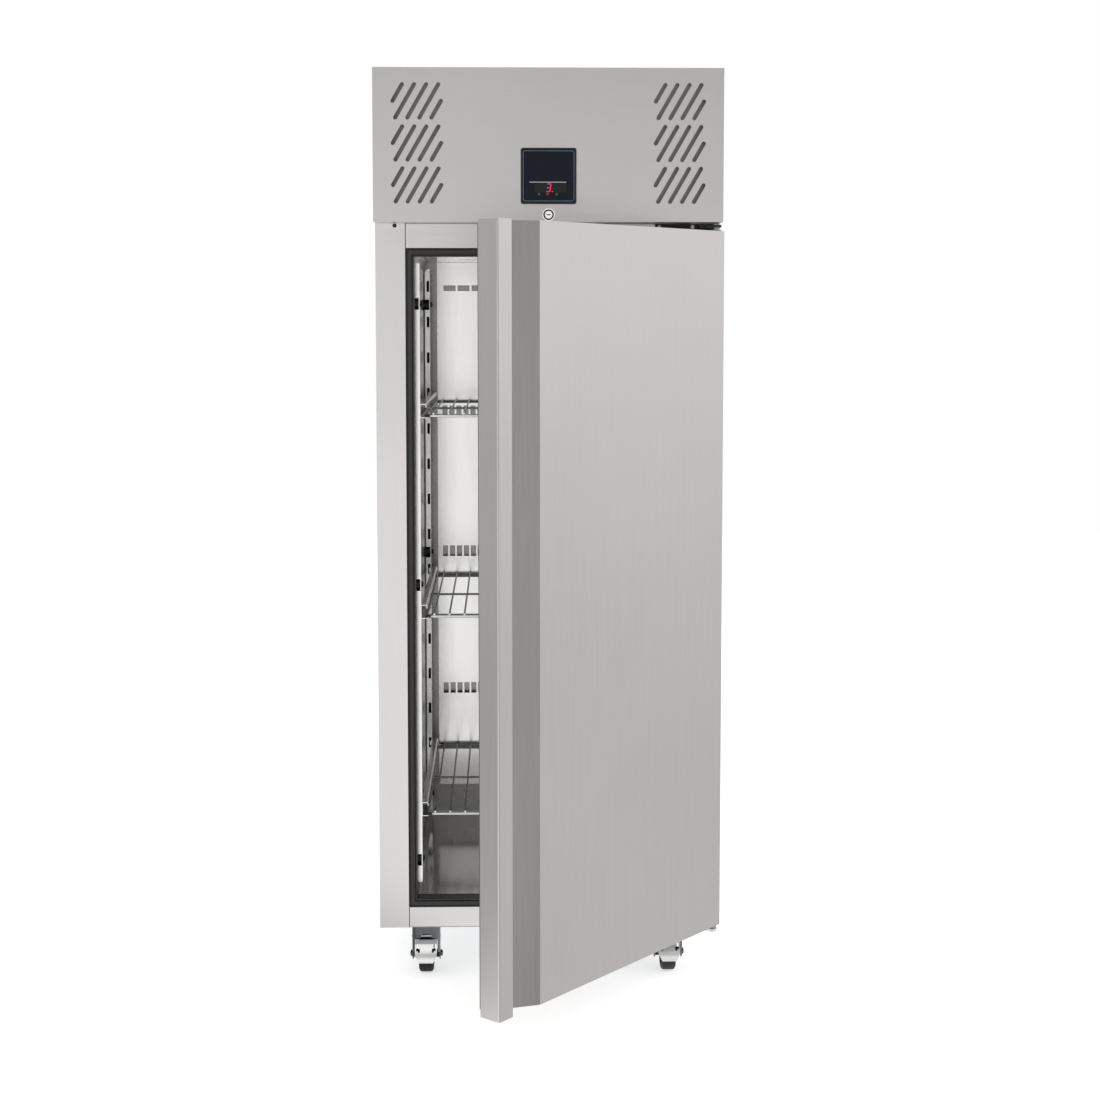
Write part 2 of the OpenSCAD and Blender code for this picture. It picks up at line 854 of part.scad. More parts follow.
module uprights() {
    color("silver") for (side = [-1, 1], y = upright_ys) mirrored(side) difference() {
        upright_channel(y);
        for (i = [0:slot_count - 1]) translate([0, y, slot_z0 + i * slot_pitch]) {
            if (y == upright_ys[1])
                translate([upright_x - upright_d + upright_t, -upright_w, 0])
                    cube([6.5, upright_w, slot_h]);
            translate([upright_x - upright_d - 1, -3, 0]) cube([3, 6, slot_h]);
        }
        for (z = stud_zs) {
            rod_x(upright_x - upright_d - 1, y, z, 3, 3);
            box([upright_x - upright_d + upright_t, y - upright_w, z - notch_h / 2],
                [upright_x + 1, y + upright_w, z + notch_h / 2]);
        }
        difference() {
            box([upright_x - upright_round, y - upright_w, upright_hi - upright_round],
                [upright_x + 1, y + upright_w, upright_hi + 1]);
            rod_y(upright_x - upright_round, y - upright_w - 1, upright_hi - upright_round,
                upright_round, 2 * upright_w + 2);
        }
    }
}

// knobs that clamp the uprights to the liner, with the spacers that show in their notches
module liner_studs() {
    color([0.08, 0.08, 0.08])
        for (side = [-1, 1], y = upright_ys, z = stud_zs) mirrored(side) difference() {
            union() {
                rod_x(upright_x - upright_d - 3, y, z, stud_r, 3);
                translate([upright_x - upright_d - 5, y, z]) rotate([0, 90, 0])
                    cylinder(r1 = stud_r - 2.5, r2 = stud_r, h = 2);
                rod_x(upright_x - upright_d - 5, y, z, 2.8, upright_d + 5 + upright_off);
                rod_x(upright_x - upright_d + upright_t, y, z, spacer_r,
                    upright_d - upright_t + upright_off);
            }
            rod_x(upright_x - upright_d - 6, y, z, 2, 3);
        }
}

// rectangle from the origin with that corner rounded
module one_round(w, h, r) {
    translate([r, 0]) square([w - r, h]);
    translate([0, r]) square([w, h - r]);
    translate([r, r]) circle(r);
}

// channel that carries a shelf, its upper edge rolled over, with a hook into each upright
module tray_slides() {
    color("gainsboro") for (side = [-1, 1], z = shelf_zs) mirrored(side) {
        z0 = z - frame_wire / 2 - free - slide_t;
        y1 = upright_ys[1] + upright_w / 2 + 8;
        translate([0, slide_front, 0]) rotate([-90, 0, 0]) linear_extrude(y1 - slide_front)
            translate([slide_x - slide_in, -z0 - slide_h]) difference() {
                one_round(slide_in, slide_h, slide_r);
                translate([slide_t, slide_t])
                    one_round(slide_in - 2 * slide_t, slide_h - 2 * slide_t, slide_r - slide_t);
                translate([-1, slide_lip]) square([slide_in / 2, slide_h - slide_lip - slide_t]);
            }
        for (y = upright_ys) {
            box([slide_x - slide_t, y - 2, z + slot_rise + 2], [slide_x + 6, y + 2, z + slot_rise + 14]);
        }
    }
}

// wire shelf: frame, doubled end wires, middle wire and bars welded on top
module shelf(level) {
    z = shelf_zs[level];
    r = frame_wire / 2;
    b = bar_wire / 2;
    x = shelf_w / 2 - r;
    y0 = shelf_front + r;
    y1 = shelf_front + shelf_d - r;
    bar_z = z + r + b - weld;
    corner = 14;
    color("gray") {
        for (side = [-1, 1]) rod_y(side * x, y0 + corner, z, r, y1 - y0 - 2 * corner);
        for (y = [y0, y1]) rod_x(-x + corner, y, z, r, 2 * (x - corner));
        for (side = [-1, 1], end = [0, 1])
            translate([side * (x - corner), end == 1 ? y1 - corner : y0 + corner, z])
                rotate([0, 0, end == 1 ? (side > 0 ? 0 : 90) : (side > 0 ? 270 : 180)])
                    rotate_extrude(angle = 90) translate([corner, 0]) circle(r);
        for (y = [y0 + 22, (y0 + y1) / 2, y1 - 22]) rod_x(-x, y, z, r - 0.5, 2 * x);
        for (i = [0:bar_count - 1])
            rod_y(-x + (i + 0.5) * 2 * x / bar_count, y0 - 1, bar_z, b, y1 - y0 + 2);
    }
}

module shelf_low_wire() shelf(0);
module shelf_middle_wire() shelf(1);
module shelf_top_wire() shelf(2);

// rear panel that leads the cold air down, with its rows of outlets
module duct_panel() {
    t = 1.2;
    rows = [for (i = [0:2]) shelf_zs[i] + duct_rows[i]];
    color("white") difference() {
        box([-duct_x, duct_front, duct_lo], [duct_x, liner_back, liner_hi - 0.5]);
        box([-duct_x + t, duct_front + t, duct_lo - 1],
            [duct_x - t, liner_back + 1, liner_hi + 1]);
        for (z = rows, i = [0:27])
            box([-duct_x + 12 + i * 17.5, duct_front - 1, z - duct_slot_h / 2],
                [-duct_x + 25 + i * 17.5, duct_front + t + 1, z + duct_slot_h / 2]);
        for (i = [0:13])
            box([-duct_x + 16 + i * 35, duct_front - 1, liner_hi - 71],
                [-duct_x + 46 + i * 35, duct_front + t + 1, liner_hi - 57]);
    }
}

// refrigeration unit

// finned coil: end plates, fins, the tubes that run through them and the wider return
// bends pushed over the tubes' ends
module coil(x0, x1, y, d, z0, z1, fins, rows, tube_r) {
    pitch = (z1 - z0) / rows;
    bend_r = tube_r + 0.6;
    for (i = [0:fins]) {
        t = (i == 0 || i == fins) ? 1.5 : 0.6;
        x = x0 + (x1 - x0) * i / fins;
        box([x - t / 2, y, z0], [x + t / 2, y + d, z1]);
    }
    for (row = [0:rows - 1], side = [0, 1])
        rod_x(x0 - tube_out, y + d * (0.25 + 0.5 * side), z0 + (row + 0.5) * pitch, tube_r,
            x1 - x0 + 2 * tube_out);
    for (row = [0:rows - 1]) translate([x1 + tube_out - 1, y + d / 2, z0 + (row + 0.5) * pitch])
        rotate([0, 0, -90]) rotate_extrude(angle = 180) translate([d / 4, 0]) circle(bend_r);
    for (row = [1:rows - 1])
        translate([x0 - tube_out + 1, y + d * (row % 2 == 1 ? 0.25 : 0.75), z0 + row * pitch])
            rotate([90, -90, 0]) rotate_extrude(angle = 180)
                translate([pitch / 2, 0]) circle(bend_r);
}

// feet or legs under a coil
module coil_feet(x0, x1, y, d, z0) {
    for (x = [x0, x1 - 20]) box([x, y, unit_z], [x + 20, y + d, z0 + 1]);
}

module condenser_coil() {
    color("dimgray") {
        coil(cond_x[0] + 12, cond_x[1] - 12, cond_y, cond_d, cond_z[0], cond_z[1], fin_count,
            cond_rows, 4.5);
        coil_feet(cond_x[0] + 12, cond_x[1] - 12, cond_y, cond_d, cond_z[0]);
    }
}

// shroud with a round mouth, its feet and the arms that hold the motor
module fan_shroud() {
    x = fan_place[0];
    z = fan_place[1];
    w = (cond_x[1] - cond_x[0]) / 2 - 10;
    h = (cond_z[1] - cond_z[0]) / 2;
    color([0.12, 0.12, 0.12]) {
        translate([x, 0, z]) {
            upright_plate(shroud_y, 2) difference() {
                square([2 * w, 2 * h], center = true);
                circle(fan_r + 4);
            }
            upright_plate(shroud_y, shroud_d) difference() {
                circle(fan_r + 6);
                circle(fan_r + 4);
            }
            upright_plate(shroud_y + shroud_d, 3) difference() {
                union() {
                    circle(motor_r + 5);
                    for (a = [30:120:270]) rotate(a) translate([0, -5]) square([fan_r + 6, 10]);
                }
                circle(8);
            }
        }
        for (s = [-1, 1]) translate([x + s * (w - 20) - 12, shroud_y + 2 - weld, unit_z])
            rotate([90, 0, 90]) linear_extrude(24)
                polygon([[0, 0], [24, 0], [24, 2], [2, 2], [2, z - h + 12 - unit_z], [0, z - h + 12 - unit_z]]);
    }
}

// motor with a bearing boss at its nose; its shaft carries the fan
module motor(x, y, z, l) {
    rod_y(x, y, z, motor_r, l);
    rod_y(x, y + l, z, motor_r - 12, 8);
    rod_y(x, y - 3, z, 7.5, 3);
    rod_y(x, y - 26, z, shaft_r, 26);
}

module condenser_motor() {
    color("dimgray") motor(fan_place[0], shroud_y + shroud_d + 3, fan_place[1], motor_l);
}

// axial fan: hub bored for the shaft and pitched blades
module axial_fan(r, blades, hub_r, hub_l) {
    difference() {
        union() {
            rotate([-90, 0, 0]) cylinder(r = hub_r, h = hub_l);
            for (i = [0:blades - 1]) rotate([0, i * 360 / blades, 0]) intersection() {
                translate([0, hub_l / 2, 0]) rotate([0, 0, 32])
                    translate([-r * 0.28, -1, hub_r - 3]) cube([r * 0.56, 2, r - hub_r + 3]);
                rotate([-90, 0, 0]) cylinder(r = r, h = hub_l);
            }
        }
        translate([0, -1, 0]) rotate([-90, 0, 0]) cylinder(r = shaft_r + run, h = hub_l + 2);
    }
}

module condenser_fan() {
    color("gray") translate([fan_place[0], shroud_y + shroud_d - 26, fan_place[1]])
        axial_fan(fan_r, 5, 24, 22);
}

// insulated housing over the evaporator, open to the deck
module evaporator_housing() {
    z1 = unit_z + evap_h;
    color("gainsboro") difference() {
        box([-evap_x, evap_y[0], unit_z], [evap_x, evap_y[1], z1]);
        box([-evap_x + evap_wall, evap_y[0] + evap_wall, unit_z - 1],
            [evap_x - evap_wall, evap_y[1] - evap_wall / 2, z1 - evap_wall]);
    }
}

module evaporator_coil() {
    x = airway_x - 10;
    z0 = unit_z + 16;
    y = evap_coil_y;
    color("silver") {
        coil(-x, x, y, evap_coil_d, z0, z0 + evap_h - 70, 18, 4, 4.5);
        coil_feet(-x, x, y, evap_coil_d, z0);
    }
}

// motor on its bracket behind the evaporator
module evaporator_motor() {
    y = evap_fan_y + 24;
    color("dimgray") {
        motor(0, y, evap_fan_z, 45);
        box([-20, y + 10, unit_z], [20, y + 30, evap_fan_z - motor_r + 4]);
        box([-45, y, unit_z], [45, y + 40, unit_z + 2]);
    }
}

module evaporator_fan() {
    color("gray") translate([0, evap_fan_y, evap_fan_z]) axial_fan(evap_fan_r, 5, 20, 18);
}

// hermetic compressor: welded shell with its seam, feet and terminal cover
module compressor() {
    foot = comp_foot;
    dome = 36;
    color([0.1, 0.1, 0.11]) translate([comp_place[0], comp_place[1], unit_z]) {
        translate([0, 0, foot]) rotate_extrude() union() {
            square([comp_r - 14, comp_h - dome]);
            translate([0, 14]) square([comp_r, comp_h - dome - 14]);
            translate([comp_r - 14, 14]) circle(14);
            square([comp_r - dome, comp_h]);
            translate([comp_r - dome, comp_h - dome]) intersection() {
                circle(dome);
                square(dome + 1);
            }
            translate([0, comp_h * 0.55]) square([comp_r + 4, 5]);
        }
        for (x = [-1, 1], y = [-1, 1]) translate([x * (comp_r - 5), y * (comp_r - 5), 0])
            cylinder(r = 12, h = foot);
        translate([-comp_r - 8, -comp_r - 8, foot - 3]) cube([2 * comp_r + 16, 2 * comp_r + 16, 3]);
        translate([-32, comp_r - 10, foot + 45]) cube([64, 34, 60]);
    }
}

// electrics box behind the header
module electrics_box() {
    x0 = -side_x + 30;
    y0 = front_y + 330;
    color("lightgray") {
        box([x0, y0, unit_z], [x0 + 44, y0 + 10, unit_z + 30]);
        box([x0, y0 + 60, unit_z], [x0 + 44, y0 + 70, unit_z + 30]);
        box([x0, y0 - 20, unit_z + 30], [x0 + 44, y0 + 90, unit_z + 150]);
    }
}

// round tube swept along a route with softened corners
function soften(p, r) = concat([p[0]], [
    for (i = [1:len(p) - 2])
        let (
            a = p[i] + unit(p[i - 1] - p[i]) * r,
            c = p[i] + unit(p[i + 1] - p[i]) * r
        )
        for (t = [0:0.25:1]) (1 - t) * (1 - t) * a + 2 * t * (1 - t) * p[i] + t * t * c
], [p[len(p) - 1]]);

function headings(p) = [
    for (i = [0:len(p) - 1]) unit(p[min(i + 1, len(p) - 1)] - p[max(i - 1, 0)])
];

function square_to(v, t) = unit(v - (v * t) * t);

function carried(t, i, n) = i >= len(t) ? [] :
    let (m = square_to(n, t[i])) concat([m], carried(t, i + 1, m));

module tube(route, r, bend, sides = 8) {
    p = soften(route, bend);
    t = headings(p);
    n = carried(t, 0, abs(t[0][2]) > 0.9 ? [1, 0, 0] : [0, 0, 1]);
    rings = [for (i = [0:len(p) - 1]) for (s = [0:sides - 1])
        let (a = 360 * s / sides) p[i] + r * (cos(a) * n[i] + sin(a) * cross(t[i], n[i]))];
    last = (len(p) - 1) * sides;
    polyhedron(rings, concat(
        [[for (s = [0:sides - 1]) s]],
        [for (i = [0:len(p) - 2], s = [0:sides - 1]) let (q = (s + 1) % sides)
            [i * sides + s, (i + 1) * sides + s, (i + 1) * sides + q, i * sides + q]],
        [[for (s = [sides - 1:-1:0]) last + s]]
    ));
}

// discharge, liquid and suction lines, with the filter drier
module refrigerant_pipes() {
    cx = comp_place[0];
    cy = comp_place[1];
    top = unit_z + comp_h + comp_foot;
    in_x = cond_x[0] + 12 - tube_out;
    run_x = in_x - pipe_in;
    port_y = cond_y + cond_d * 0.75;
    pitch = (cond_z[1] - cond_z[0]) / cond_rows;
    high = cond_z[1] - pitch / 2;
    low = cond_z[0] + pitch / 2;
    drier_y = evap_y[0] - drier_gap - drier_l;
    color([0.72, 0.45, 0.3]) {
        tube([[cx + 22, cy, top], [cx + 22, cy, top + 45], [run_x, cy, top + 45],
            [run_x, port_y, top + 45], [run_x, port_y, high], [in_x, port_y, high]], 4, 12);
        tube([[in_x, port_y, low], [run_x, port_y, low], [run_x, drier_y, low]], 3, 12);
        rod_y(run_x, drier_y, low, 10, drier_l);
        tube([[run_x, drier_y + drier_l, low], [run_x, evap_y[0], low]], 3, 5);
        tube([[cx - 22, cy, top], [cx - 22, cy, top + 30], [cx - 22, evap_y[0] - 40, top + 30],
            [cx - 22, evap_y[0] - 40, unit_z + 120], [cx - 22, evap_y[0], unit_z + 120]], 5, 12);
    }
}

// castors

// fixed top plates with their kingpins and bolts
module castor_plates() {
    color("silver") for (p = castor_places) translate([p[0], p[1], 0]) {
        translate([0, 0, castor_h - plate_t]) linear_extrude(plate_t) round_rect(100, 86, 8);
        translate([0, 0, fork_z - race_h - free - pin_head]) {
            cylinder(r = kingpin_r, h = race_h + free + pin_head + 1);
            cylinder(r = 11, h = pin_head);
        }
        for (x = [-1, 1], y = [-1, 1]) translate([x * 40, y * 30, castor_h - plate_t - 5])
            cylinder(r = 6.5, h = 6, $fn = 6);
    }
}

// swivel fork: raceway, housing, two legs and the axle with its nuts
module fork(i, braked) {
    color("lightgray") translate([castor_places[i][0], castor_places[i][1], 0]) {
        difference() {
            union() {
                translate([0, 0, fork_z - race_h + fork_t]) cylinder(r = race_r, h = race_h - fork_t);
                translate([0, 0, fork_z - race_h]) linear_extrude(fork_t)
                    round_rect(2 * (fork_in + fork_t), 2 * race_r - 4, 4);
            }
            translate([0, 0, fork_z - race_h - 1]) cylinder(r = kingpin_r + run, h = race_h + 2);
        }
        skirt(braked);
        for (side = [-1, 1]) translate([side * (skirt_x - skirt_t / 2) - skirt_t / 2, 0, 0])
            rotate([90, 0, 90]) linear_extrude(skirt_t) fork_leg(braked);
        rod_x(-skirt_x - nut_l - 1, -trail, wheel_r, axle_r, 2 * (skirt_x + nut_l + 1));
        for (side = [-1, 1])
            translate([side * (skirt_x + nut_l / 2), -trail, wheel_r])
                rotate([0, 90, 0]) cylinder(r = 7.5, h = nut_l, center = true, $fn = 6);
    }
}

// pressed housing round the fork's top, notched in front and drawn down beside the brake pedal
module skirt(braked) {
    mid = (skirt_back - skirt_front) / 2;
    w = 2 * skirt_x;
    d = skirt_back + skirt_front;
    top = fork_z - race_h + fork_t;
    difference() {
        translate([0, mid, skirt_z]) linear_extrude(top - skirt_z) round_rect(w, d, skirt_r);
        translate([0, mid, skirt_z - 1]) linear_extrude(top - skirt_z - fork_t + 1)
            round_rect(w - 2 * skirt_t, d - 2 * skirt_t, skirt_r - skirt_t);
        translate([0, 0, skirt_z - 1]) cylinder(r = kingpin_r + run, h = top);
        if (braked) {
            box([-12, -skirt_front - 1, skirt_z - 1], [12, -skirt_front + skirt_t + 1, skirt_z + 12]);
            rod_x(-skirt_x - 1, pedal_pivot[0], pedal_pivot[1], pedal_pin_r + run, 2 * skirt_x + 2);
        }
    }
    if (braked) intersection() {
        translate([0, mid, cheek_z]) linear_extrude(skirt_z - cheek_z + weld) difference() {
            round_rect(w, d, skirt_r);
            round_rect(w - 2 * skirt_t, d - 2 * skirt_t, skirt_r - skirt_t);
        }
        for (side = [-1, 1]) mirrored(side)
            box([pedal_w / 2 + 0.8, -skirt_front - 1, cheek_z - 1], [skirt_x + 1, -trail, skirt_z + 1]);
    }
}

// outline of one leg, seen from the side
module fork_leg(braked) {
    top = fork_z - race_h + 1;
    difference() {
        union() {
            translate([-trail, wheel_r]) circle(13);
            polygon([[-trail - 13, wheel_r], [-race_r + 2, top], [race_r - 12, top],
                [-trail + 11, wheel_r - 7]]);
            if (braked)
                polygon([[-skirt_front + skirt_r, top], [-skirt_front + skirt_r, cheek_z],
                    [-trail - 11, wheel_r - 6], [-trail, wheel_r], [-trail + 8, top]]);
        }
        if (braked)
            translate(pedal_pivot) circle(pedal_pin_r + run);
    }
}

module castor_fork_front_left() fork(0, true);
module castor_fork_front_right() fork(1, true);
module castor_fork_rear_left() fork(2, false);
module castor_fork_rear_right() fork(3, false);

// wheel: crowned tyre on a dished hub with a long boss, bored for the axle
module wheel(i) {
    w = wheel_w / 2;
    color([0.2, 0.2, 0.2])
        translate([castor_places[i][0], castor_places[i][1] - trail, wheel_r])
            rotate([0, 90, 0]) rotate_extrude() {
                difference() {
                    union() {
                        translate([axle_r + run, -w]) square([wheel_r - axle_r - run, 2 * w]);
                        translate([axle_r + run, -leg_in + 0.5])
                            square([boss_r - axle_r - run, 2 * leg_in - 1]);
                    }
                    translate([13, w - 6]) square([wheel_r - 23, 7]);
                    translate([13, -w - 1]) square([wheel_r - 23, 7]);
                    for (s = [-1, 1])
                        polygon([[wheel_r - 5, s * (w + 1)], [wheel_r + 1, s * (w + 1)],
                            [wheel_r + 1, s * (w - 6)], [wheel_r, s * (w - 6)],
                            [wheel_r - 1.5, s * (w - 2.5)], [wheel_r - 5, s * w]]);
                }
            }
}

module wheel_front_left() wheel(0);
module wheel_front_right() wheel(1);
module wheel_rear_left() wheel(2);
module wheel_rear_right() wheel(3);

// brake pedal: bent tread plate with two cut-outs, ears and the pin it turns on
module pedal(i) {
    ear_x = pedal_w / 2 - pedal_t;
    c = pedal_mid;
    color("white") translate([castor_places[i][0], castor_places[i][1], 0]) {
        difference() {
            rotate([90, 0, 90]) translate([0, 0, -pedal_w / 2]) linear_extrude(pedal_w)
                polygon(concat(arc(c, pedal_bend, pedal_arc[0], pedal_arc[1], 10),
                    flip(arc(c, pedal_bend - pedal_t, pedal_arc[0], pedal_arc[1], 10))));
            for (side = [-1, 1]) {
                pedal_window(side);
                pedal_corner(side);
            }
        }
        for (side = [-1, 1])
            rotate([90, 0, 90]) translate([0, 0, side > 0 ? ear_x : -ear_x - pedal_t])
                linear_extrude(pedal_t) {
                    translate(pedal_pivot) circle(pedal_hub_r);
                    polygon(concat([pedal_pivot + [4, -4], pedal_pivot + [-5.7, -1.5],
                        pedal_pivot + [-6.6, -7.5]], arc(c, pedal_bend - 0.5, 131, 148, 5)));
                }
        rod_x(-skirt_x - 1, pedal_pivot[0], pedal_pivot[1], pedal_pin_r, 2 * (skirt_x + 1));
    }
}

// L-shaped cut-out near one side of the tread
module pedal_window(side) {
    y0 = pedal_mid[0] - pedal_bend - 1;
    y1 = pedal_mid[0] - 12;
    z = pedal_mid[1] + 28;
    mirrored(side) {
        box([17, y0, z], [21.5, y1, z + 12.5]);
        box([13, y0, z - 3], [17.5, y1, z + 5]);
    }
}

// cuts that narrow the tread towards its lower edge and bevel its upper corner
module pedal_corner(side) {
    w = pedal_w / 2;
    z = pedal_mid[1];
    mirrored(side) upright_plate(pedal_mid[0] - pedal_bend - 2, pedal_bend + 4) {
        polygon([[w - 9.5, z - 1], [w + 1, z - 1], [w + 1, z + 22], [w, z + 20], [w - 8.5, z + 3]]);
        polygon([[w - 4, z + 50], [w + 1, z + 50], [w + 1, z + 42], [w, z + 42]]);
    }
}

module brake_pedal_left() pedal(0);
module brake_pedal_right() pedal(1);

side_panel_left();
side_panel_right();
back_panel();
base_pan();
deck_panel();
front_rails();
foam_left();
foam_right();
foam_back();
foam_floor();
foam_ceiling();
liner();
breaker_frame();
header_panel();
controller_case();
controller_face();
lock_barrel();
hole_plug();
hinge_brackets();
hinge_pins();
hinge_screws();
uprights();
liner_studs();
tray_slides();
duct_panel();
evaporator_housing();
evaporator_coil();
evaporator_motor();
compressor();
condenser_coil();
fan_shroud();
condenser_motor();
refrigerant_pipes();
electrics_box();
castor_plates();
door_skin();
door_foam();
door_liner();
door_gasket();
door_caps();
hinge_bushes();
lock_plug();
key_left();
key_middle();
key_right();
shelf_low_wire();
shelf_middle_wire();
shelf_top_wire();
condenser_fan();
evaporator_fan();
castor_fork_front_left();
castor_fork_front_right();
castor_fork_rear_left();
castor_fork_rear_right();
wheel_front_left();
wheel_front_right();
wheel_rear_left();
wheel_rear_right();
brake_pedal_left();
brake_pedal_right();
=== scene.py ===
"""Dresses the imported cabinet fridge: the finishes of its sheet metal, plastics, cooling unit and
castors, the print on its controller, the seal of its door, and a plain pale studio round it."""

import json
import math

import bmesh
import bpy
from bpy.props import FloatProperty, FloatVectorProperty, PointerProperty
from mathutils import Matrix, Vector

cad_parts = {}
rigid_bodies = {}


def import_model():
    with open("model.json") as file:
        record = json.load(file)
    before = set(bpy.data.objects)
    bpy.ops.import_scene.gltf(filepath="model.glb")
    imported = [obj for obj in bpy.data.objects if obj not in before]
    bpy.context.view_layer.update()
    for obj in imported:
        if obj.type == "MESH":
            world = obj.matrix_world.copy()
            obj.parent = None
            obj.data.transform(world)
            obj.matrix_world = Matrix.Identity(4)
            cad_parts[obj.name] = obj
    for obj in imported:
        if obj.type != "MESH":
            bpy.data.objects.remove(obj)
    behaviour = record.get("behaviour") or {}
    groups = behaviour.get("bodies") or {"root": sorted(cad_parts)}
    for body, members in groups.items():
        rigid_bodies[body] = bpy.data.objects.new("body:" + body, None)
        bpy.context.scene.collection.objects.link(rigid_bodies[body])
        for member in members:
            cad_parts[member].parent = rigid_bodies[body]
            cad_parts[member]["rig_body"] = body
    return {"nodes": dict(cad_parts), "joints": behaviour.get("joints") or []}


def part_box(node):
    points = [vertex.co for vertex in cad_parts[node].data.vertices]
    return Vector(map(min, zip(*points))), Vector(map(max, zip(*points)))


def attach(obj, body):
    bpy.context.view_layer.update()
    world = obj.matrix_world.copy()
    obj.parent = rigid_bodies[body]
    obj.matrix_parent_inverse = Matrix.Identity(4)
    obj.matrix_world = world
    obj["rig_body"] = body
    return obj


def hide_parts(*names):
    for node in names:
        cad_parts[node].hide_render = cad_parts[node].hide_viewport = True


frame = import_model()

bl_info = {
    "name": "Cabinet fridge finish",
    "version": (1, 0, 0),
    "blender": (4, 5, 0),
    "location": "View3D > Sidebar > Fridge",
    "description": "Gives a cabinet fridge on castors its finishes, its small parts and its studio",
    "category": "Object",
}

MM = 0.001
NODES = frame["nodes"]
JOINTS = {joint["name"]: joint for joint in frame["joints"]}
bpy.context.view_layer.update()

# The door is packed as it stands, so closing it takes the lower limit of its swing.
HINGE = Vector(JOINTS["door_swing"]["pos_m"])
DOOR_OPEN = -math.radians(JOINTS["door_swing"]["range_deg"][0])

# Edges that turn by more than this angle are real edges, the rest are facets of a curve; the soft
# seal takes a wider one. Faces that turn by less than the last angle are one flat face.
EDGE_ANGLE = math.radians(27)
SEAL_EDGE_ANGLE = math.radians(38)
FLAT_ANGLE = math.radians(0.5)

# Blender's noise lies between these values for the most part; the wider pair leaves more of a
# finish near its middle roughness.
NOISE = (0.3, 0.7)
WIDE_NOISE = (0.25, 0.75)

# Places on imported nodes that get a second material, marking where painted shade lies, in
# millimetres.
SHIELD_BEHIND_HEADER = 24.5     # flange that stands behind the vents
LINER_WALL = 14                 # walls and their folds, in from the liner's sides
LINER_BACK = 4                  # back wall, in from the liner's rear
BREAKER_STEP = 2.5              # flat and groove of the breaker strip, behind its front
FRONT_WIRE_DEPTH = 16                  # front wires of a shelf, behind its front
UPRIGHT_DEPTH = 10.8            # inside of an upright's web, in from its wall side
UPRIGHT_INSIDE = (1, 27)        # space between an upright's two flanges
LOCK_GROOVES = (1, 2)           # depths of the two faces of the lock barrel's groove
KEYWAY = (1, 13.5)              # depth range of the keyway
KEYWAY_REACH = 5                # half of the keyway's length
KEYWAY_HALF = 1.2               # half of the keyway's width
PLUG_RADIUS = 6

# Print on the controller, in millimetres from the middle of its face.
OUTLINE_OUTER = (106.6, 104.2, 5)        # width, height and corner radius
OUTLINE_INNER = (104.6, 102.2, 4)
LINE_CORNERS = ((-39.5, -12.2), (36.5, -12.2), (36.5, -13.6), (-39.5, -13.6))
WINDOW = (4.5, -24.5, 67, 19, 1.5)       # centre, width, height and corner radius
FIGURE_Z = -24.5

# Studio. The floor lies a hair under the wheels. The camera stands where the picture was taken: a
# little left of the middle at eye height, turned right and down by these degrees, with the rest of
# the drop as shift.
FLOOR_DROP = 0.5
CAMERA_PLACE = (-0.09197, -4.04292, 1.45577)
CAMERA_YAW, CAMERA_PITCH = math.radians(1.3948), math.radians(4.4543)
CAMERA_SHIFT = -0.085

# The light tent's dark flag: its direction from straight ahead towards the right, and the angles
# from it at which it is full and gone.
FLAG_TURN, FLAG_FULL, FLAG_GONE = (math.radians(angle) for angle in (42, 8, 30))
# Points on the door and on the front from which the tent is measured in the floor's mirror image.
DOOR_ORIGIN = (-0.1, -0.6, 0.9)
FRONT_ORIGIN = (-0.12, -0.12, 0.9)


def linear(hex_colour):
    """Turns a hex colour as painted on screen into the linear one that shaders take."""
    values = [int(hex_colour[i:i + 2], 16) / 255 for i in (0, 2, 4)]
    return tuple(v / 12.92 if v <= 0.04045 else ((v + 0.055) / 1.055) ** 2.4 for v in values)


def colour(name, about, hex_colour):
    """A colour that the user can change in the sidebar."""
    return FloatVectorProperty(name=name, description=about, subtype="COLOR", size=3,
                               min=0, max=1, default=linear(hex_colour))


def length(name, about, millimetres, low=0.01, high=5000):
    """A size that the user can change in the sidebar, given in millimetres."""
    return FloatProperty(name=name, description=about, subtype="DISTANCE", unit="LENGTH",
                         default=millimetres * MM, min=low * MM, max=high * MM)


class FridgeColours(bpy.types.PropertyGroup):
    """Colours of the parts that show"""
    header: colour("Header", "Brushed sheet of the deep header", "D1CFCE")
    body: colour("Body", "Brushed sheet of the stiles, side panels and rails", "DBD9D8")
    door: colour("Door", "Brushed sheet of the door", "CFCDCB")
    inside: colour("Inside", "Bright rolled sheet of the liner", "EAE9E8")
    uprights: colour("Uprights", "Bright rolled sheet of the slotted uprights", "F6F5F4")
    duct: colour("Air duct", "Satin sheet of the panel at the back", "F8F7F5")
    breaker: colour("Breaker strip", "Extruded strip round the opening", "262525")
    controller: colour("Controller", "Glossy face of the controller", "0F141D")
    outline: colour("Outline", "Fine line printed round the controller's face", "66737F")
    digits: colour("Digits", "Lit figure in the display", "D81E55")
    tyre: colour("Tyre", "Rubber of the wheels", "232223")
    pedal: colour("Pedal", "Plated tread of the brake pedals", "FAFAF9")


class FridgeSizes(bpy.types.PropertyGroup):
    """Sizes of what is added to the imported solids"""
    fold: length("Fold", "Radius on the folded edges of the sheet metal", 0.45, 0.05, 0.5)
    rounding: length("Rounding", "Radius on the edges of moulded parts", 0.6, 0.05, 2)
    print_height: length("Print", "How far print stands off the controller's face", 0.12, 0.02, 0.3)
    figure: length("Figure", "Height of the lit figure", 16, 6, 24)
    seal_pleat: length("Seal pleat", "Depth of a pleat in the door's seal", 2.6, 1, 4)


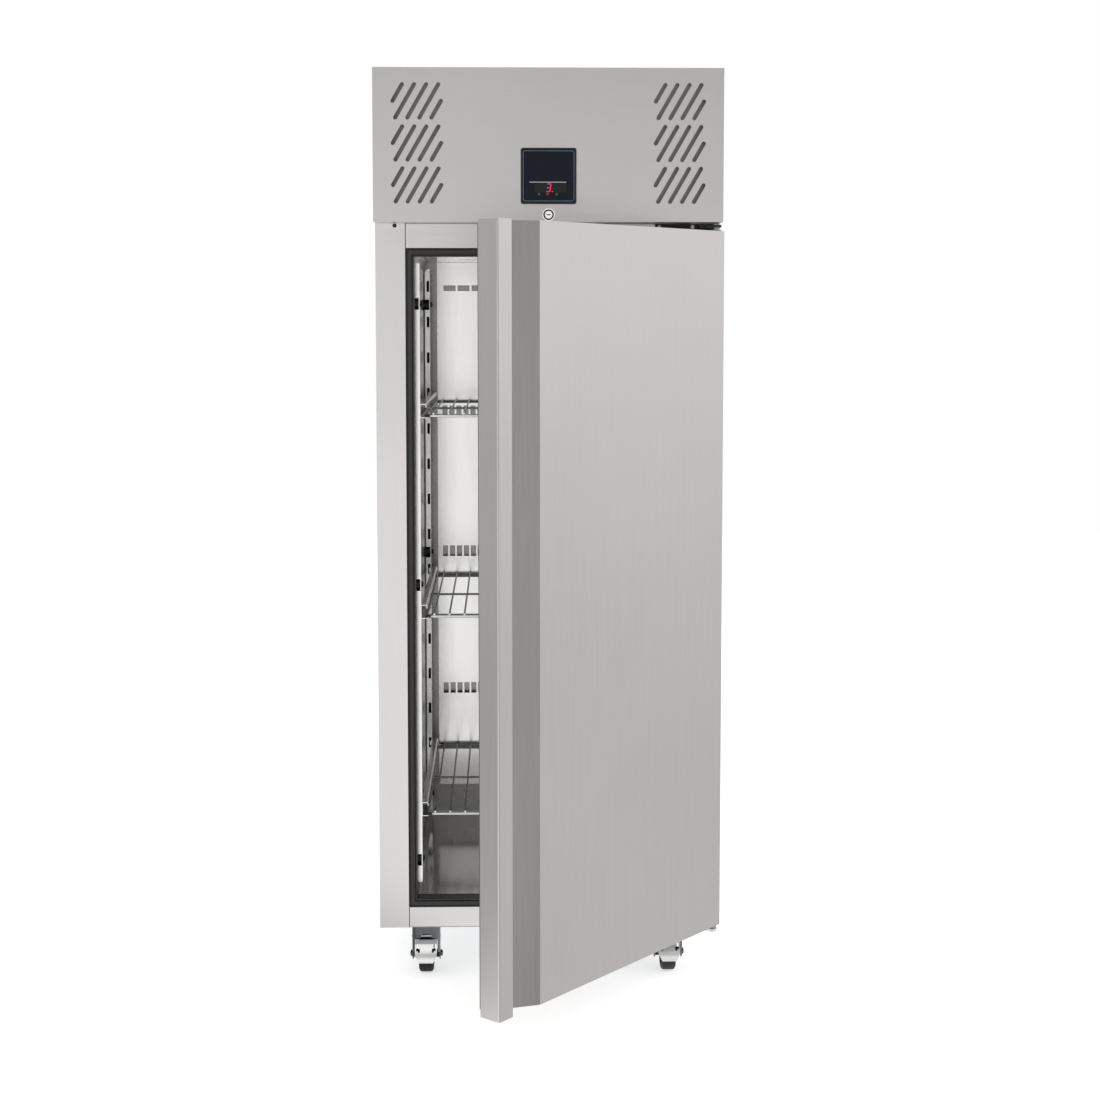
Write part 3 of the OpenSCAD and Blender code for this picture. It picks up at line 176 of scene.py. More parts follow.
class FridgeStage(bpy.types.PropertyGroup):
    """Camera and lamps of the studio"""
    lens: FloatProperty(name="Lens", description="Focal length of the camera", unit="CAMERA",
                        default=60.85, min=20, max=200)
    floor: length("Floor", "Width of the pale floor", 16000, 3000, 40000)
    key_power: FloatProperty(name="Key", description="Power of the broad lamp at the right",
                             subtype="POWER", default=55, min=0, max=1000)
    fill_power: FloatProperty(name="Fill", description="Power of the broad lamp at the left",
                              subtype="POWER", default=18, min=0, max=1000)
    front_power: FloatProperty(name="Front", description="Power of the lamp over the camera",
                               subtype="POWER", default=30, min=0, max=1000)


def settings(group):
    return getattr(bpy.context.scene, "fridge_" + group)


# Nodes of a material

def add(tree, kind, sockets=(), **values):
    """Adds one node, sets its values, and sets or links its input sockets."""
    node = tree.nodes.new("ShaderNode" + kind)
    for key, value in values.items():
        setattr(node, key, value)
    for key, value in dict(sockets).items():
        if isinstance(value, bpy.types.NodeSocket):
            tree.links.new(value, node.inputs[key])
        else:
            node.inputs[key].default_value = value
    return node


def surface(name, tone, metallic, roughness, grain, spread=0.04, rough_spread=0.05, relief=0.02,
            cloud=(180, 0.02), cells=False, **sockets):
    """A finish with a pattern of its real size: grain is the pattern's size along X, Y and Z in
    millimetres, spread how much its tone varies, relief its depth in millimetres, and cloud the
    size and spread of the slow unevenness over a whole sheet."""
    material = bpy.data.materials.new(name)
    material.use_nodes = True
    tree = material.node_tree
    tree.nodes.clear()
    place = add(tree, "TexCoord").outputs["Object"]
    fine_place = add(tree, "Mapping", {"Vector": place, "Scale": [1 / (g * MM) for g in grain]})
    broad_place = add(tree, "Mapping", {"Vector": place, "Scale": [1 / (cloud[0] * MM)] * 3})
    if cells:
        pattern = add(tree, "TexVoronoi", {"Vector": fine_place.outputs[0], "Scale": 1})
        fine = pattern.outputs["Color"]
    else:
        pattern = add(tree, "TexNoise", {"Vector": fine_place.outputs[0], "Scale": 1, "Detail": 3,
                                         "Roughness": 0.6})
        fine = pattern.outputs[0]
    broad = add(tree, "TexNoise", {"Vector": broad_place.outputs[0], "Scale": 1, "Detail": 2})
    levels = [
        add(tree, "MapRange", {"Value": value, "From Min": NOISE[0], "From Max": NOISE[1],
                               "To Min": 1 - share, "To Max": 1 + share}).outputs[0]
        for value, share in ((fine, spread), (broad.outputs[0], cloud[1]))
    ]
    level = add(tree, "Math", {0: levels[0], 1: levels[1]}, operation="MULTIPLY")
    base = add(tree, "Mix", {0: 1.0, 6: (*tone, 1), 7: level.outputs[0]}, data_type="RGBA",
               blend_type="MULTIPLY")
    rough = add(tree, "MapRange", {"Value": fine, "From Min": WIDE_NOISE[0],
                                   "From Max": WIDE_NOISE[1], "To Min": roughness - rough_spread,
                                   "To Max": roughness + rough_spread})
    bump = add(tree, "Bump", {"Height": fine, "Distance": relief * MM, "Strength": 1.0})
    shader = add(tree, "BsdfPrincipled", {
        "Base Color": base.outputs[2], "Roughness": rough.outputs[0], "Normal": bump.outputs[0],
        "Metallic": metallic, **{key.replace("_", " "): value for key, value in sockets.items()},
    })
    add(tree, "OutputMaterial", {"Surface": shader.outputs[0]})
    return material


def dress(material, *names):
    """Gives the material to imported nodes."""
    for name in names:
        mesh = NODES[name].data
        mesh.materials.clear()
        mesh.materials.append(material)


def also(mesh, material, chosen):
    """Gives a second material to the faces whose middle is chosen."""
    mesh.materials.append(material)
    for face in mesh.polygons:
        if chosen(face.center):
            face.material_index = len(mesh.materials) - 1


# Pieces

def new_piece(name, mesh, material, body):
    """Puts a finished mesh into the scene as a piece that rides on a body."""
    piece = bpy.data.objects.new(name, mesh)
    bpy.context.scene.collection.objects.link(piece)
    mesh.materials.clear()
    mesh.materials.append(material)
    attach(piece, body)
    return piece


def smooth(mesh, angle):
    mesh.shade_smooth()
    mesh.set_sharp_from_angle(angle=angle)


def formed(name, radius, material, segments=2):
    """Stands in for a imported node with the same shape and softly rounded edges."""
    source = NODES[name]
    mesh = source.data.copy()
    mesh.name = name + "_formed"
    bm = bmesh.new()
    bm.from_mesh(mesh)
    bmesh.ops.remove_doubles(bm, verts=bm.verts, dist=0.001 * MM)
    bmesh.ops.dissolve_limit(bm, angle_limit=FLAT_ANGLE, verts=bm.verts, edges=bm.edges)
    bm.to_mesh(mesh)
    bm.free()
    smooth(mesh, EDGE_ANGLE)
    piece = new_piece(name + "_formed", mesh, material, source["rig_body"])
    bevel = piece.modifiers.new("Rounding", "BEVEL")
    bevel.width = radius
    bevel.segments = segments
    bevel.limit_method = "ANGLE"
    bevel.angle_limit = EDGE_ANGLE
    even = piece.modifiers.new("Flat_sheets", "WEIGHTED_NORMAL")
    even.weight = 100
    even.keep_sharp = True
    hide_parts(name)
    return piece


def closed_box(name):
    """Lowest and highest corner of a node of the door, as if the door were closed."""
    turn = Matrix.Rotation(-DOOR_OPEN, 4, "Z")
    points = [turn @ (v.co - HINGE) + HINGE for v in NODES[name].data.vertices]
    return (Vector([min(p[i] for p in points) for i in range(3)]),
            Vector([max(p[i] for p in points) for i in range(3)]))


def loops_mesh(name, loops):
    """Joins rings of points, one after the other and the last to the first, into a closed tube."""
    mesh = bpy.data.meshes.new(name)
    bm = bmesh.new()
    rings = [[bm.verts.new(p) for p in loop] for loop in loops]
    count = len(rings[0])
    for a, b in zip(rings, rings[1:] + rings[:1]):
        for i in range(count):
            j = (i + 1) % count
            bm.faces.new((a[i], a[j], b[j], b[i]))
    bmesh.ops.recalc_face_normals(bm, faces=bm.faces)
    bm.to_mesh(mesh)
    bm.free()
    return mesh


def rounded_rectangle(cx, cz, width, height, radius, steps=6):
    """Points of a rectangle with round corners, in X and Z."""
    points = []
    for k, (sx, sz) in enumerate(((1, 1), (-1, 1), (-1, -1), (1, -1))):
        for i in range(steps + 1):
            angle = math.radians(90 * k + 90 * i / steps)
            points.append((cx + sx * (width / 2 - radius) + radius * math.cos(angle),
                           cz + sz * (height / 2 - radius) + radius * math.sin(angle)))
    return points


def plate(name, outlines, y_front, thickness):
    """Thin flat shapes with their face towards -Y, all in one mesh; an outline is a list of
    points in X and Z, or a pair of lists for a ring."""
    mesh = bpy.data.meshes.new(name)
    bm = bmesh.new()
    for outline in outlines:
        ring = isinstance(outline[0], list)
        sides = outline if ring else [outline]
        rows = [[[bm.verts.new((x, y, z)) for x, z in side] for y in (y_front, y_front + thickness)]
                for side in sides]
        for front, back in rows:
            for i in range(len(front)):
                j = (i + 1) % len(front)
                bm.faces.new((front[i], front[j], back[j], back[i]))
        for level in (0, 1):
            if ring:
                outer, inner = rows[0][level], rows[1][level]
                for i in range(len(outer)):
                    j = (i + 1) % len(outer)
                    bm.faces.new((outer[i], outer[j], inner[j], inner[i]))
            else:
                bm.faces.new(rows[0][level])
    bmesh.ops.recalc_face_normals(bm, faces=bm.faces)
    bm.to_mesh(mesh)
    bm.free()
    return mesh


class FRIDGE_OT_shell(bpy.types.Operator):
    """Brushed outer sheets, galvanised sheets and the foam between them"""
    bl_idname = "fridge.shell"
    bl_label = "Cabinet shell"

    def execute(self, context):
        tones = settings("colours")
        sizes = settings("sizes")
        # Belt-brushed stainless sheet, grit 240: fine scratches along the sheet make a broad soft
        # highlight. Drawn 3 mm wide, because the real scratches are too fine to show.
        header = surface("Brushed_stainless_header", tones.header, 1.0, 0.34, (160, 3, 3),
                         spread=0.018, relief=0.004, cloud=(240, 0.02))
        upright = surface("Brushed_stainless_panel", tones.body, 1.0, 0.34, (3, 3, 160),
                          spread=0.025, relief=0.004, cloud=(260, 0.02))
        rail = surface("Brushed_stainless_rail", tones.body, 1.0, 0.34, (160, 3, 3),
                       spread=0.025, relief=0.004, cloud=(260, 0.02))
        # Hot-dip galvanised sheet: crystals a finger wide that differ in tone, dull with age.
        galvanised = surface("Galvanised_sheet", linear("A9ACAF"), 1.0, 0.5, (14, 14, 14),
                             spread=0.09, rough_spread=0.09, relief=0.003, cells=True)
        # Rigid polyurethane foam, poured in place: closed cells under a matt yellowish skin.
        foam = surface("Polyurethane_foam", linear("DCC98F"), 0.0, 0.9, (2.5, 2.5, 2.5),
                       spread=0.08, rough_spread=0.05, relief=0.4, cells=True)
        # The flange that shields the vents stands in the shade and is painted darker as that shade,
        # with a rougher sheet.
        shaded_shield = surface("Painted_shade_vent_shield", linear("A3A3A2"), 1.0, 0.5, (4, 4, 4), spread=0.1,
                         rough_spread=0.1, relief=0.01)
        panel = formed("header_panel", sizes.fold, header).data
        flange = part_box("header_panel")[0].y + SHIELD_BEHIND_HEADER * MM
        also(panel, shaded_shield, lambda middle: abs(middle.y - flange) < 1 * MM)
        for name in ("side_panel_left", "side_panel_right"):
            formed(name, sizes.fold, upright)
        formed("front_rails", sizes.fold, rail)
        dress(galvanised, "back_panel", "base_pan", "deck_panel")
        dress(foam, "foam_left", "foam_right", "foam_back", "foam_floor", "foam_ceiling")
        # Black polyethylene stopper from a mould with a faint grain: a dull soft highlight.
        stopper = surface("Moulded_stopper", linear("1C1C1D"), 0.0, 0.45, (0.8, 0.8, 0.8),
                          spread=0.1, relief=0.02)
        dress(stopper, "hole_plug")
        return {"FINISHED"}


class FRIDGE_OT_inside(bpy.types.Operator):
    """Liner, breaker strip, uprights, slides, studs, air duct panel and shelves"""
    bl_idname = "fridge.inside"
    bl_label = "Inside"

    def execute(self, context):
        tones = settings("colours")
        # Bright annealed stainless sheet: nearly a mirror, with a haze from rolling and wiping that
        # scatters part of the light. The walls and the wall behind the air duct are painted darker
        # as shade.
        bright = surface("Bright_stainless_liner", tones.inside, 0.85, 0.12, (90, 60, 60),
                         spread=0.02, rough_spread=0.02, relief=0.002)
        shaded_wall = surface("Painted_shade_liner_wall", linear("A1A09F"), 0.7, 0.2, (60, 60, 120),
                       spread=0.03, rough_spread=0.03, relief=0.002)
        shaded_duct_wall = surface("Painted_shade_duct_wall", linear("A6A5A4"), 1.0, 0.28, (60, 60, 60),
                         spread=0.03, rough_spread=0.04, relief=0.002)
        # The same sheet pressed into uprights and slides: bright along the folds.
        pressed = surface("Bright_stainless_upright", tones.uprights, 1.0, 0.22, (2, 2, 90),
                          spread=0.02, rough_spread=0.04, relief=0.003)
        # The insides of the uprights get little light and are painted near black as that shade.
        shaded_channel = surface("Painted_shade_upright_inside", linear("2B2B2B"), 0.0, 0.6, (3, 3, 3), spread=0.2)
        # Satin stainless sheet of the air duct: pale, with upright rolling lines.
        duct = surface("Satin_stainless_duct", tones.duct, 0.94, 0.2, (2.5, 2.5, 140),
                       spread=0.015, rough_spread=0.03, relief=0.002)
        # Extruded dark PVC: slightly glossy, with draw lines along it.
        strip = surface("Extruded_PVC_breaker", tones.breaker, 0.0, 0.38, (30, 3, 30),
                        spread=0.08, relief=0.01)
        # Black nylon studs from a mould with a fine spark-eroded grain.
        nylon = surface("Moulded_nylon_stud", linear("161616"), 0.0, 0.4, (0.7, 0.7, 0.7),
                        spread=0.12, relief=0.02)
        # Zinc-plated wire: a thin highlight with small dull spots. The front wires keep the plated
        # tone, the others are painted dark as shade.
        plated_front = surface("Plated_front_wire", linear("DADBDB"), 1.0, 0.22, (6, 6, 6),
                       spread=0.06, rough_spread=0.07, relief=0.01)
        wire = surface("Painted_shade_shelf_wire", linear("737475"), 1.0, 0.24, (6, 6, 6),
                       spread=0.06, rough_spread=0.07, relief=0.01)
        # The flat and the groove of the breaker strip lie lower and are painted darker as shade.
        shaded_groove = surface("Painted_shade_PVC_groove", linear("141414"), 0.0, 0.6, (3, 3, 3), spread=0.2)
        dress(bright, "liner")
        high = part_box("liner")[1]
        liner = NODES["liner"].data
        also(liner, shaded_wall, lambda middle: abs(middle.x) > high.x - LINER_WALL * MM)
        also(liner, shaded_duct_wall, lambda middle: middle.y > high.y - LINER_BACK * MM)
        dress(pressed, "uprights", "tray_slides")
        front_low, rear_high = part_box("uprights")
        web = rear_high.x - UPRIGHT_DEPTH * MM
        also(NODES["uprights"].data, shaded_channel, lambda middle: abs(middle.x) > web and
             any(UPRIGHT_INSIDE[0] * MM < offset < UPRIGHT_INSIDE[1] * MM
                 for offset in (middle.y - front_low.y, rear_high.y - middle.y)))
        dress(duct, "duct_panel")
        dress(strip, "breaker_frame")
        dress(nylon, "liner_studs")
        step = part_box("breaker_frame")[0].y + BREAKER_STEP * MM
        also(NODES["breaker_frame"].data, shaded_groove, lambda middle: abs(middle.y - step) < 0.3 * MM)
        for name in ("shelf_low_wire", "shelf_middle_wire", "shelf_top_wire"):
            dress(wire, name)
            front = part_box(name)[0].y + FRONT_WIRE_DEPTH * MM
            also(NODES[name].data, plated_front, lambda middle: middle.y < front)
        return {"FINISHED"}


class FRIDGE_OT_door(bpy.types.Operator):
    """Door with its inner panel, ends, bushes and hinges"""
    bl_idname = "fridge.door"
    bl_label = "Door"

    def execute(self, context):
        tones = settings("colours")
        sizes = settings("sizes")
        # Belt-brushed stainless sheet with upright scratches, folded into the grip.
        skin = surface("Brushed_stainless_door", tones.door, 1.0, 0.34, (3, 3, 180),
                       spread=0.03, relief=0.004, cloud=(320, 0.02))
        # Vacuum-formed polystyrene: satin white with a soft sheen.
        panel = surface("Formed_polystyrene", linear("E9E9E6"), 0.0, 0.35, (1.2, 1.2, 1.2),
                        spread=0.015, relief=0.02)
        # Rigid polyurethane foam, as in the cabinet.
        foam = surface("Polyurethane_foam_door", linear("DCC98F"), 0.0, 0.9, (2.5, 2.5, 2.5),
                       spread=0.08, relief=0.4, cells=True)
        # Grey glass-filled nylon ends and bushes: matt, with a faint flow grain.
        ends = surface("Moulded_nylon_end", linear("87888A"), 0.0, 0.5, (1, 1, 1),
                       spread=0.05, relief=0.02)
        # Bright zinc plating over pressed steel: cool grey with cloudy patches.
        zinc = surface("Zinc_plated_hinge", linear("A5A7A9"), 1.0, 0.32, (9, 9, 9),
                       spread=0.08, rough_spread=0.09, relief=0.01)
        formed("door_skin", sizes.fold, skin)
        formed("door_liner", sizes.rounding, panel)
        dress(foam, "door_foam")
        dress(ends, "door_caps", "hinge_bushes")
        # Painted shade on the upper hinge bracket, which stands in the dark gap under the header:
        # near black and matt, with a fine orange peel.
        shaded_bracket = surface("Painted_shade_hinge_bracket", linear("171718"), 0.0, 0.5, (0.9, 0.9, 0.9),
                         spread=0.2, relief=0.03)
        dress(zinc, "hinge_pins", "hinge_screws")
        dress(shaded_bracket, "hinge_brackets")
        # The lower bracket shows bright zinc plating, hardly worn.
        bare = surface("Bare_zinc_bracket", linear("ECECEC"), 1.0, 0.3, (9, 9, 9), spread=0.04,
                       rough_spread=0.06, relief=0.006)
        also(NODES["hinge_brackets"].data, bare, lambda middle: middle.z < 1)
        return {"FINISHED"}


class FRIDGE_OT_seal(bpy.types.Operator):
    """Magnetic seal of the door: foot, two pleats and the head with its magnet"""
    bl_idname = "fridge.seal"
    bl_label = "Door seal"

    def execute(self, context):
        low, high = closed_box("door_gasket")
        pleat = settings("sizes").seal_pleat
        depth = high.y - low.y
        half = 10 * MM
        # Outline of the seal across its width and through its depth, from the foot to the head.
        side = [(half, 0), (half, 0.16), (half - pleat, 0.24), (half * 0.46, 0.28),
                (half * 0.3, 0.36), (half * 0.62, 0.46), (half * 0.3, 0.56), (half * 0.62, 0.66),
                (half * 0.78, 0.7), (half * 0.82, 0.86), (half * 0.7, 0.96), (half * 0.42, 1)]
        outline = side + [(-u, v) for u, v in side[::-1]]
        centre = [(low.x + high.x) / 2, (low.z + high.z) / 2]
        reach = [(high.x - low.x) / 2 - half, (high.z - low.z) / 2 - half]
        turn = Matrix.Rotation(DOOR_OPEN, 4, "Z")
        loops = []
        for sx, sz in ((1, 1), (-1, 1), (-1, -1), (1, -1)):
            ring = []
            for u, v in outline:
                point = Vector((centre[0] + sx * (reach[0] + u), low.y + v * depth,
                                centre[1] + sz * (reach[1] + u)))
                ring.append(turn @ (point - HINGE) + HINGE)
            loops.append(ring)
        mesh = loops_mesh("door_seal", loops)
        smooth(mesh, SEAL_EDGE_ANGLE)
        # Soft extruded PVC: dark grey, matt, with a thin sheen at grazing angles.
        soft = surface("Soft_PVC_seal", linear("5B5C5E"), 0.0, 0.55, (4, 4, 4),
                       spread=0.05, relief=0.03, Sheen_Weight=0.2, Sheen_Roughness=0.4)
        piece = new_piece("door_seal", mesh, soft, "door")
        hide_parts("door_gasket")
        return {"FINISHED"}


class FRIDGE_OT_controller(bpy.types.Operator):
    """Controller with its printed outline, line, window and lit figure, and the lock"""
    bl_idname = "fridge.controller"
    bl_label = "Controller and lock"

    def execute(self, context):
        tones = settings("colours")
        sizes = settings("sizes")
        low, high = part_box("controller_face")
        cz = (low.z + high.z) / 2
        y = low.y - sizes.print_height
        # Black ABS from a polished mould: a deep tone and a soft wide highlight.
        case = surface("Moulded_ABS_case", linear("101114"), 0.0, 0.3, (0.9, 0.9, 0.9),
                       spread=0.1, relief=0.008)
        # Polycarbonate film over the electronics: navy black with little reflection.
        film = surface("Coated_polycarbonate_face", tones.controller, 0.0, 0.22, (12, 12, 12),
                       spread=0.06, rough_spread=0.02, relief=0.002, Specular_IOR_Level=0.14)
        # Screen print, a grey outline and a silver line: flat satin ink of slightly uneven cover.
        ink = surface("Printed_outline", tones.outline, 0.0, 0.5, (1, 1, 1), spread=0.08)
        pale = surface("Printed_silver_line", linear("B9BBC0"), 0.0, 0.45, (1, 1, 1), spread=0.08)
        # Smoked acrylic window over the display: dark grey and glossy.
        smoked = surface("Smoked_display_window", linear("191C1E"), 0.0, 0.2, (3, 3, 3),
                         spread=0.05, rough_spread=0.02, relief=0.001, Specular_IOR_Level=0.2)
        # Silicone key tops under a printed skin: mid grey, matt, with a fine grain.
        keys = surface("Printed_key_top", linear("4A4D52"), 0.0, 0.4, (0.8, 0.8, 0.8),
                       spread=0.12, relief=0.01, Specular_IOR_Level=0.3)
        # Painted shade in the lock's groove and keyway: near black and matt.
        keyway_shade = surface("Lock_keyway", linear("0B0B0B"), 0.0, 0.7, (1, 1, 1), spread=0.2)
        # Chromed brass: a bright mirror, broken by polishing haze.
        chrome = surface("Chromed_brass_lock", linear("F0F0F0"), 1.0, 0.14, (5, 5, 5),
                         spread=0.04, rough_spread=0.05, relief=0.006)
        formed("controller_case", sizes.rounding, case, 3)
        dress(film, "controller_face")
        dress(keys, "key_left", "key_middle", "key_right")
        barrel = formed("lock_barrel", 0.3 * MM, chrome, 3).data
        plug = formed("lock_plug", 0.2 * MM, chrome).data
        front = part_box("lock_barrel")[0].y
        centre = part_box("lock_plug")[1].z - PLUG_RADIUS * MM
        also(barrel, keyway_shade, lambda middle: any(abs(middle.y - front - depth * MM) < 0.06 * MM
                                                for depth in LOCK_GROOVES))
        also(plug, keyway_shade, lambda middle: abs(middle.x) < KEYWAY_REACH * MM and
             abs(middle.z - centre) < KEYWAY_HALF * MM and
             KEYWAY[0] * MM < middle.y - front < KEYWAY[1] * MM)

        def placed(points):
            return [(x * MM, cz + z * MM) for x, z in points]

        ring = [placed(rounded_rectangle(0, 0, *size)) for size in (OUTLINE_OUTER, OUTLINE_INNER)]
        for name, outline, material in (
            ("controller_outline", ring, ink),
            ("controller_line", placed(LINE_CORNERS), pale),
            ("display_window", placed(rounded_rectangle(*WINDOW)), smoked),
        ):
            mesh = plate(name, [outline], y, sizes.print_height)
            new_piece(name, mesh, material, "cabinet")
        self.figure(y, cz, tones, sizes)
        return {"FINISHED"}

    def figure(self, y, cz, tones, sizes):
        """The figure 3 of a seven-segment display, leaning a little, with its point."""
        h = sizes.figure
        w = h * 0.5
        bar = h * 0.12
        gap = bar * 0.12
        lean = 0.12
        segments = [((-w / 2, h / 2), (w / 2, h / 2)), ((-w / 2, 0), (w / 2, 0)),
                    ((-w / 2, -h / 2), (w / 2, -h / 2)), ((w / 2, h / 2), (w / 2, 0)),
                    ((w / 2, 0), (w / 2, -h / 2))]
        outlines = []
        for (x0, z0), (x1, z1) in segments:
            along = Vector((x1 - x0, z1 - z0)).normalized()
            across = Vector((-along.y, along.x)) * bar / 2
            a = Vector((x0, z0)) + along * gap
            b = Vector((x1, z1)) - along * gap
            points = [a, a + along * bar / 2 + across, b - along * bar / 2 + across, b,
                      b - along * bar / 2 - across, a + along * bar / 2 - across]
            outlines.append([(p.x + p.y * lean, cz + FIGURE_Z * MM + p.y) for p in points])
        dot = rounded_rectangle(w, -h / 2, bar * 1.3, bar * 1.3, bar * 0.6, 3)
        outlines.append([(x, cz + FIGURE_Z * MM + z) for x, z in dot])
        mesh = plate("display_figure", outlines, y - sizes.print_height, sizes.print_height)
        # Light-emitting segments behind the film: an even red glow without a highlight.
        glow = surface("Lit_segments", tones.digits, 0.0, 0.6, (2, 2, 2), spread=0.03,
                       Emission_Color=(*tones.digits, 1), Emission_Strength=0.6)
        new_piece("display_figure", mesh, glow, "cabinet")


class FRIDGE_OT_cooling(bpy.types.Operator):
    """Compressor, coils, fans, lines and boxes behind the header"""
    bl_idname = "fridge.cooling"
    bl_label = "Cooling unit"

    def execute(self, context):
        # Black enamel, sprayed and baked: glossy with an orange-peel skin.
        enamel = surface("Black_enamel", linear("202124"), 0.0, 0.28, (5, 5, 5),
                         spread=0.1, relief=0.03)
        # The same enamel dipped over thin fins: matt with dust.
        coil = surface("Black_enamel_fins", linear("2A2B2D"), 0.0, 0.4, (4, 4, 4),
                       spread=0.1, relief=0.02)
        # Mill-finish aluminium: dull silver with rolling lines.
        fins = surface("Mill_aluminium_fins", linear("C7C9CB"), 1.0, 0.4, (2, 2, 20),
                       spread=0.05, relief=0.004)
        # Pressed aluminium blades: bright, with soft patches from the press.
        blades = surface("Pressed_aluminium_fan", linear("B5B7B9"), 1.0, 0.38, (7, 7, 7),
                         spread=0.05, relief=0.01)
        # Drawn copper tube: warm, with brown patches where it was handled and brazed.
        copper = surface("Drawn_copper", linear("C47F58"), 1.0, 0.32, (18, 18, 18),
                         spread=0.16, rough_spread=0.1, relief=0.006)
        # Grey ABS housings from a grained mould.
        housing = surface("Moulded_ABS_housing", linear("CFCFCB"), 0.0, 0.45, (1.2, 1.2, 1.2),
                          spread=0.03, relief=0.03)
        # Black polypropylene from a grained mould: dull, with a soft grey sheen.
        shroud = surface("Moulded_PP_shroud", linear("1E1E20"), 0.0, 0.45, (1, 1, 1),
                         spread=0.1, relief=0.02)
        dress(enamel, "compressor", "condenser_motor", "evaporator_motor")
        dress(coil, "condenser_coil")
        dress(fins, "evaporator_coil")
        dress(blades, "condenser_fan", "evaporator_fan")
        dress(copper, "refrigerant_pipes")
        dress(housing, "evaporator_housing", "electrics_box")
        dress(shroud, "fan_shroud")
        return {"FINISHED"}


class FRIDGE_OT_castors(bpy.types.Operator):
    """Castors with their plates, forks, wheels and brake pedals"""
    bl_idname = "fridge.castors"
    bl_label = "Castors"

    def execute(self, context):
        tones = settings("colours")
        # Zinc plating over pressed steel, painted darker as the shade under the base: mid grey with
        # cloudy patches.
        zinc = surface("Painted_shade_castor_zinc", linear("6A6C6E"), 1.0, 0.22, (8, 8, 8),
                       spread=0.1, rough_spread=0.1, relief=0.012)
        # Bright plating over a blasted tread: nearly white, as it scatters much of the light.
        tread = surface("Bright_plated_tread", tones.pedal, 0.6, 0.2, (6, 6, 6),
                        spread=0.04, rough_spread=0.06, relief=0.01)
        # Grey-black rubber tyre on a nylon hub: matt with fine scuffs.
        rubber = surface("Rubber_tyre", tones.tyre, 0.0, 0.62, (1.5, 1.5, 1.5),
                         spread=0.14, relief=0.05)
        dress(zinc, "castor_plates", "castor_fork_front_left", "castor_fork_front_right",
              "castor_fork_rear_left", "castor_fork_rear_right")
        for side in ("left", "right"):
            formed("brake_pedal_" + side, 0.25 * MM, tread)
            for end in ("front", "rear"):
                formed(f"wheel_{end}_{side}", 0.5 * MM, rubber)
        return {"FINISHED"}


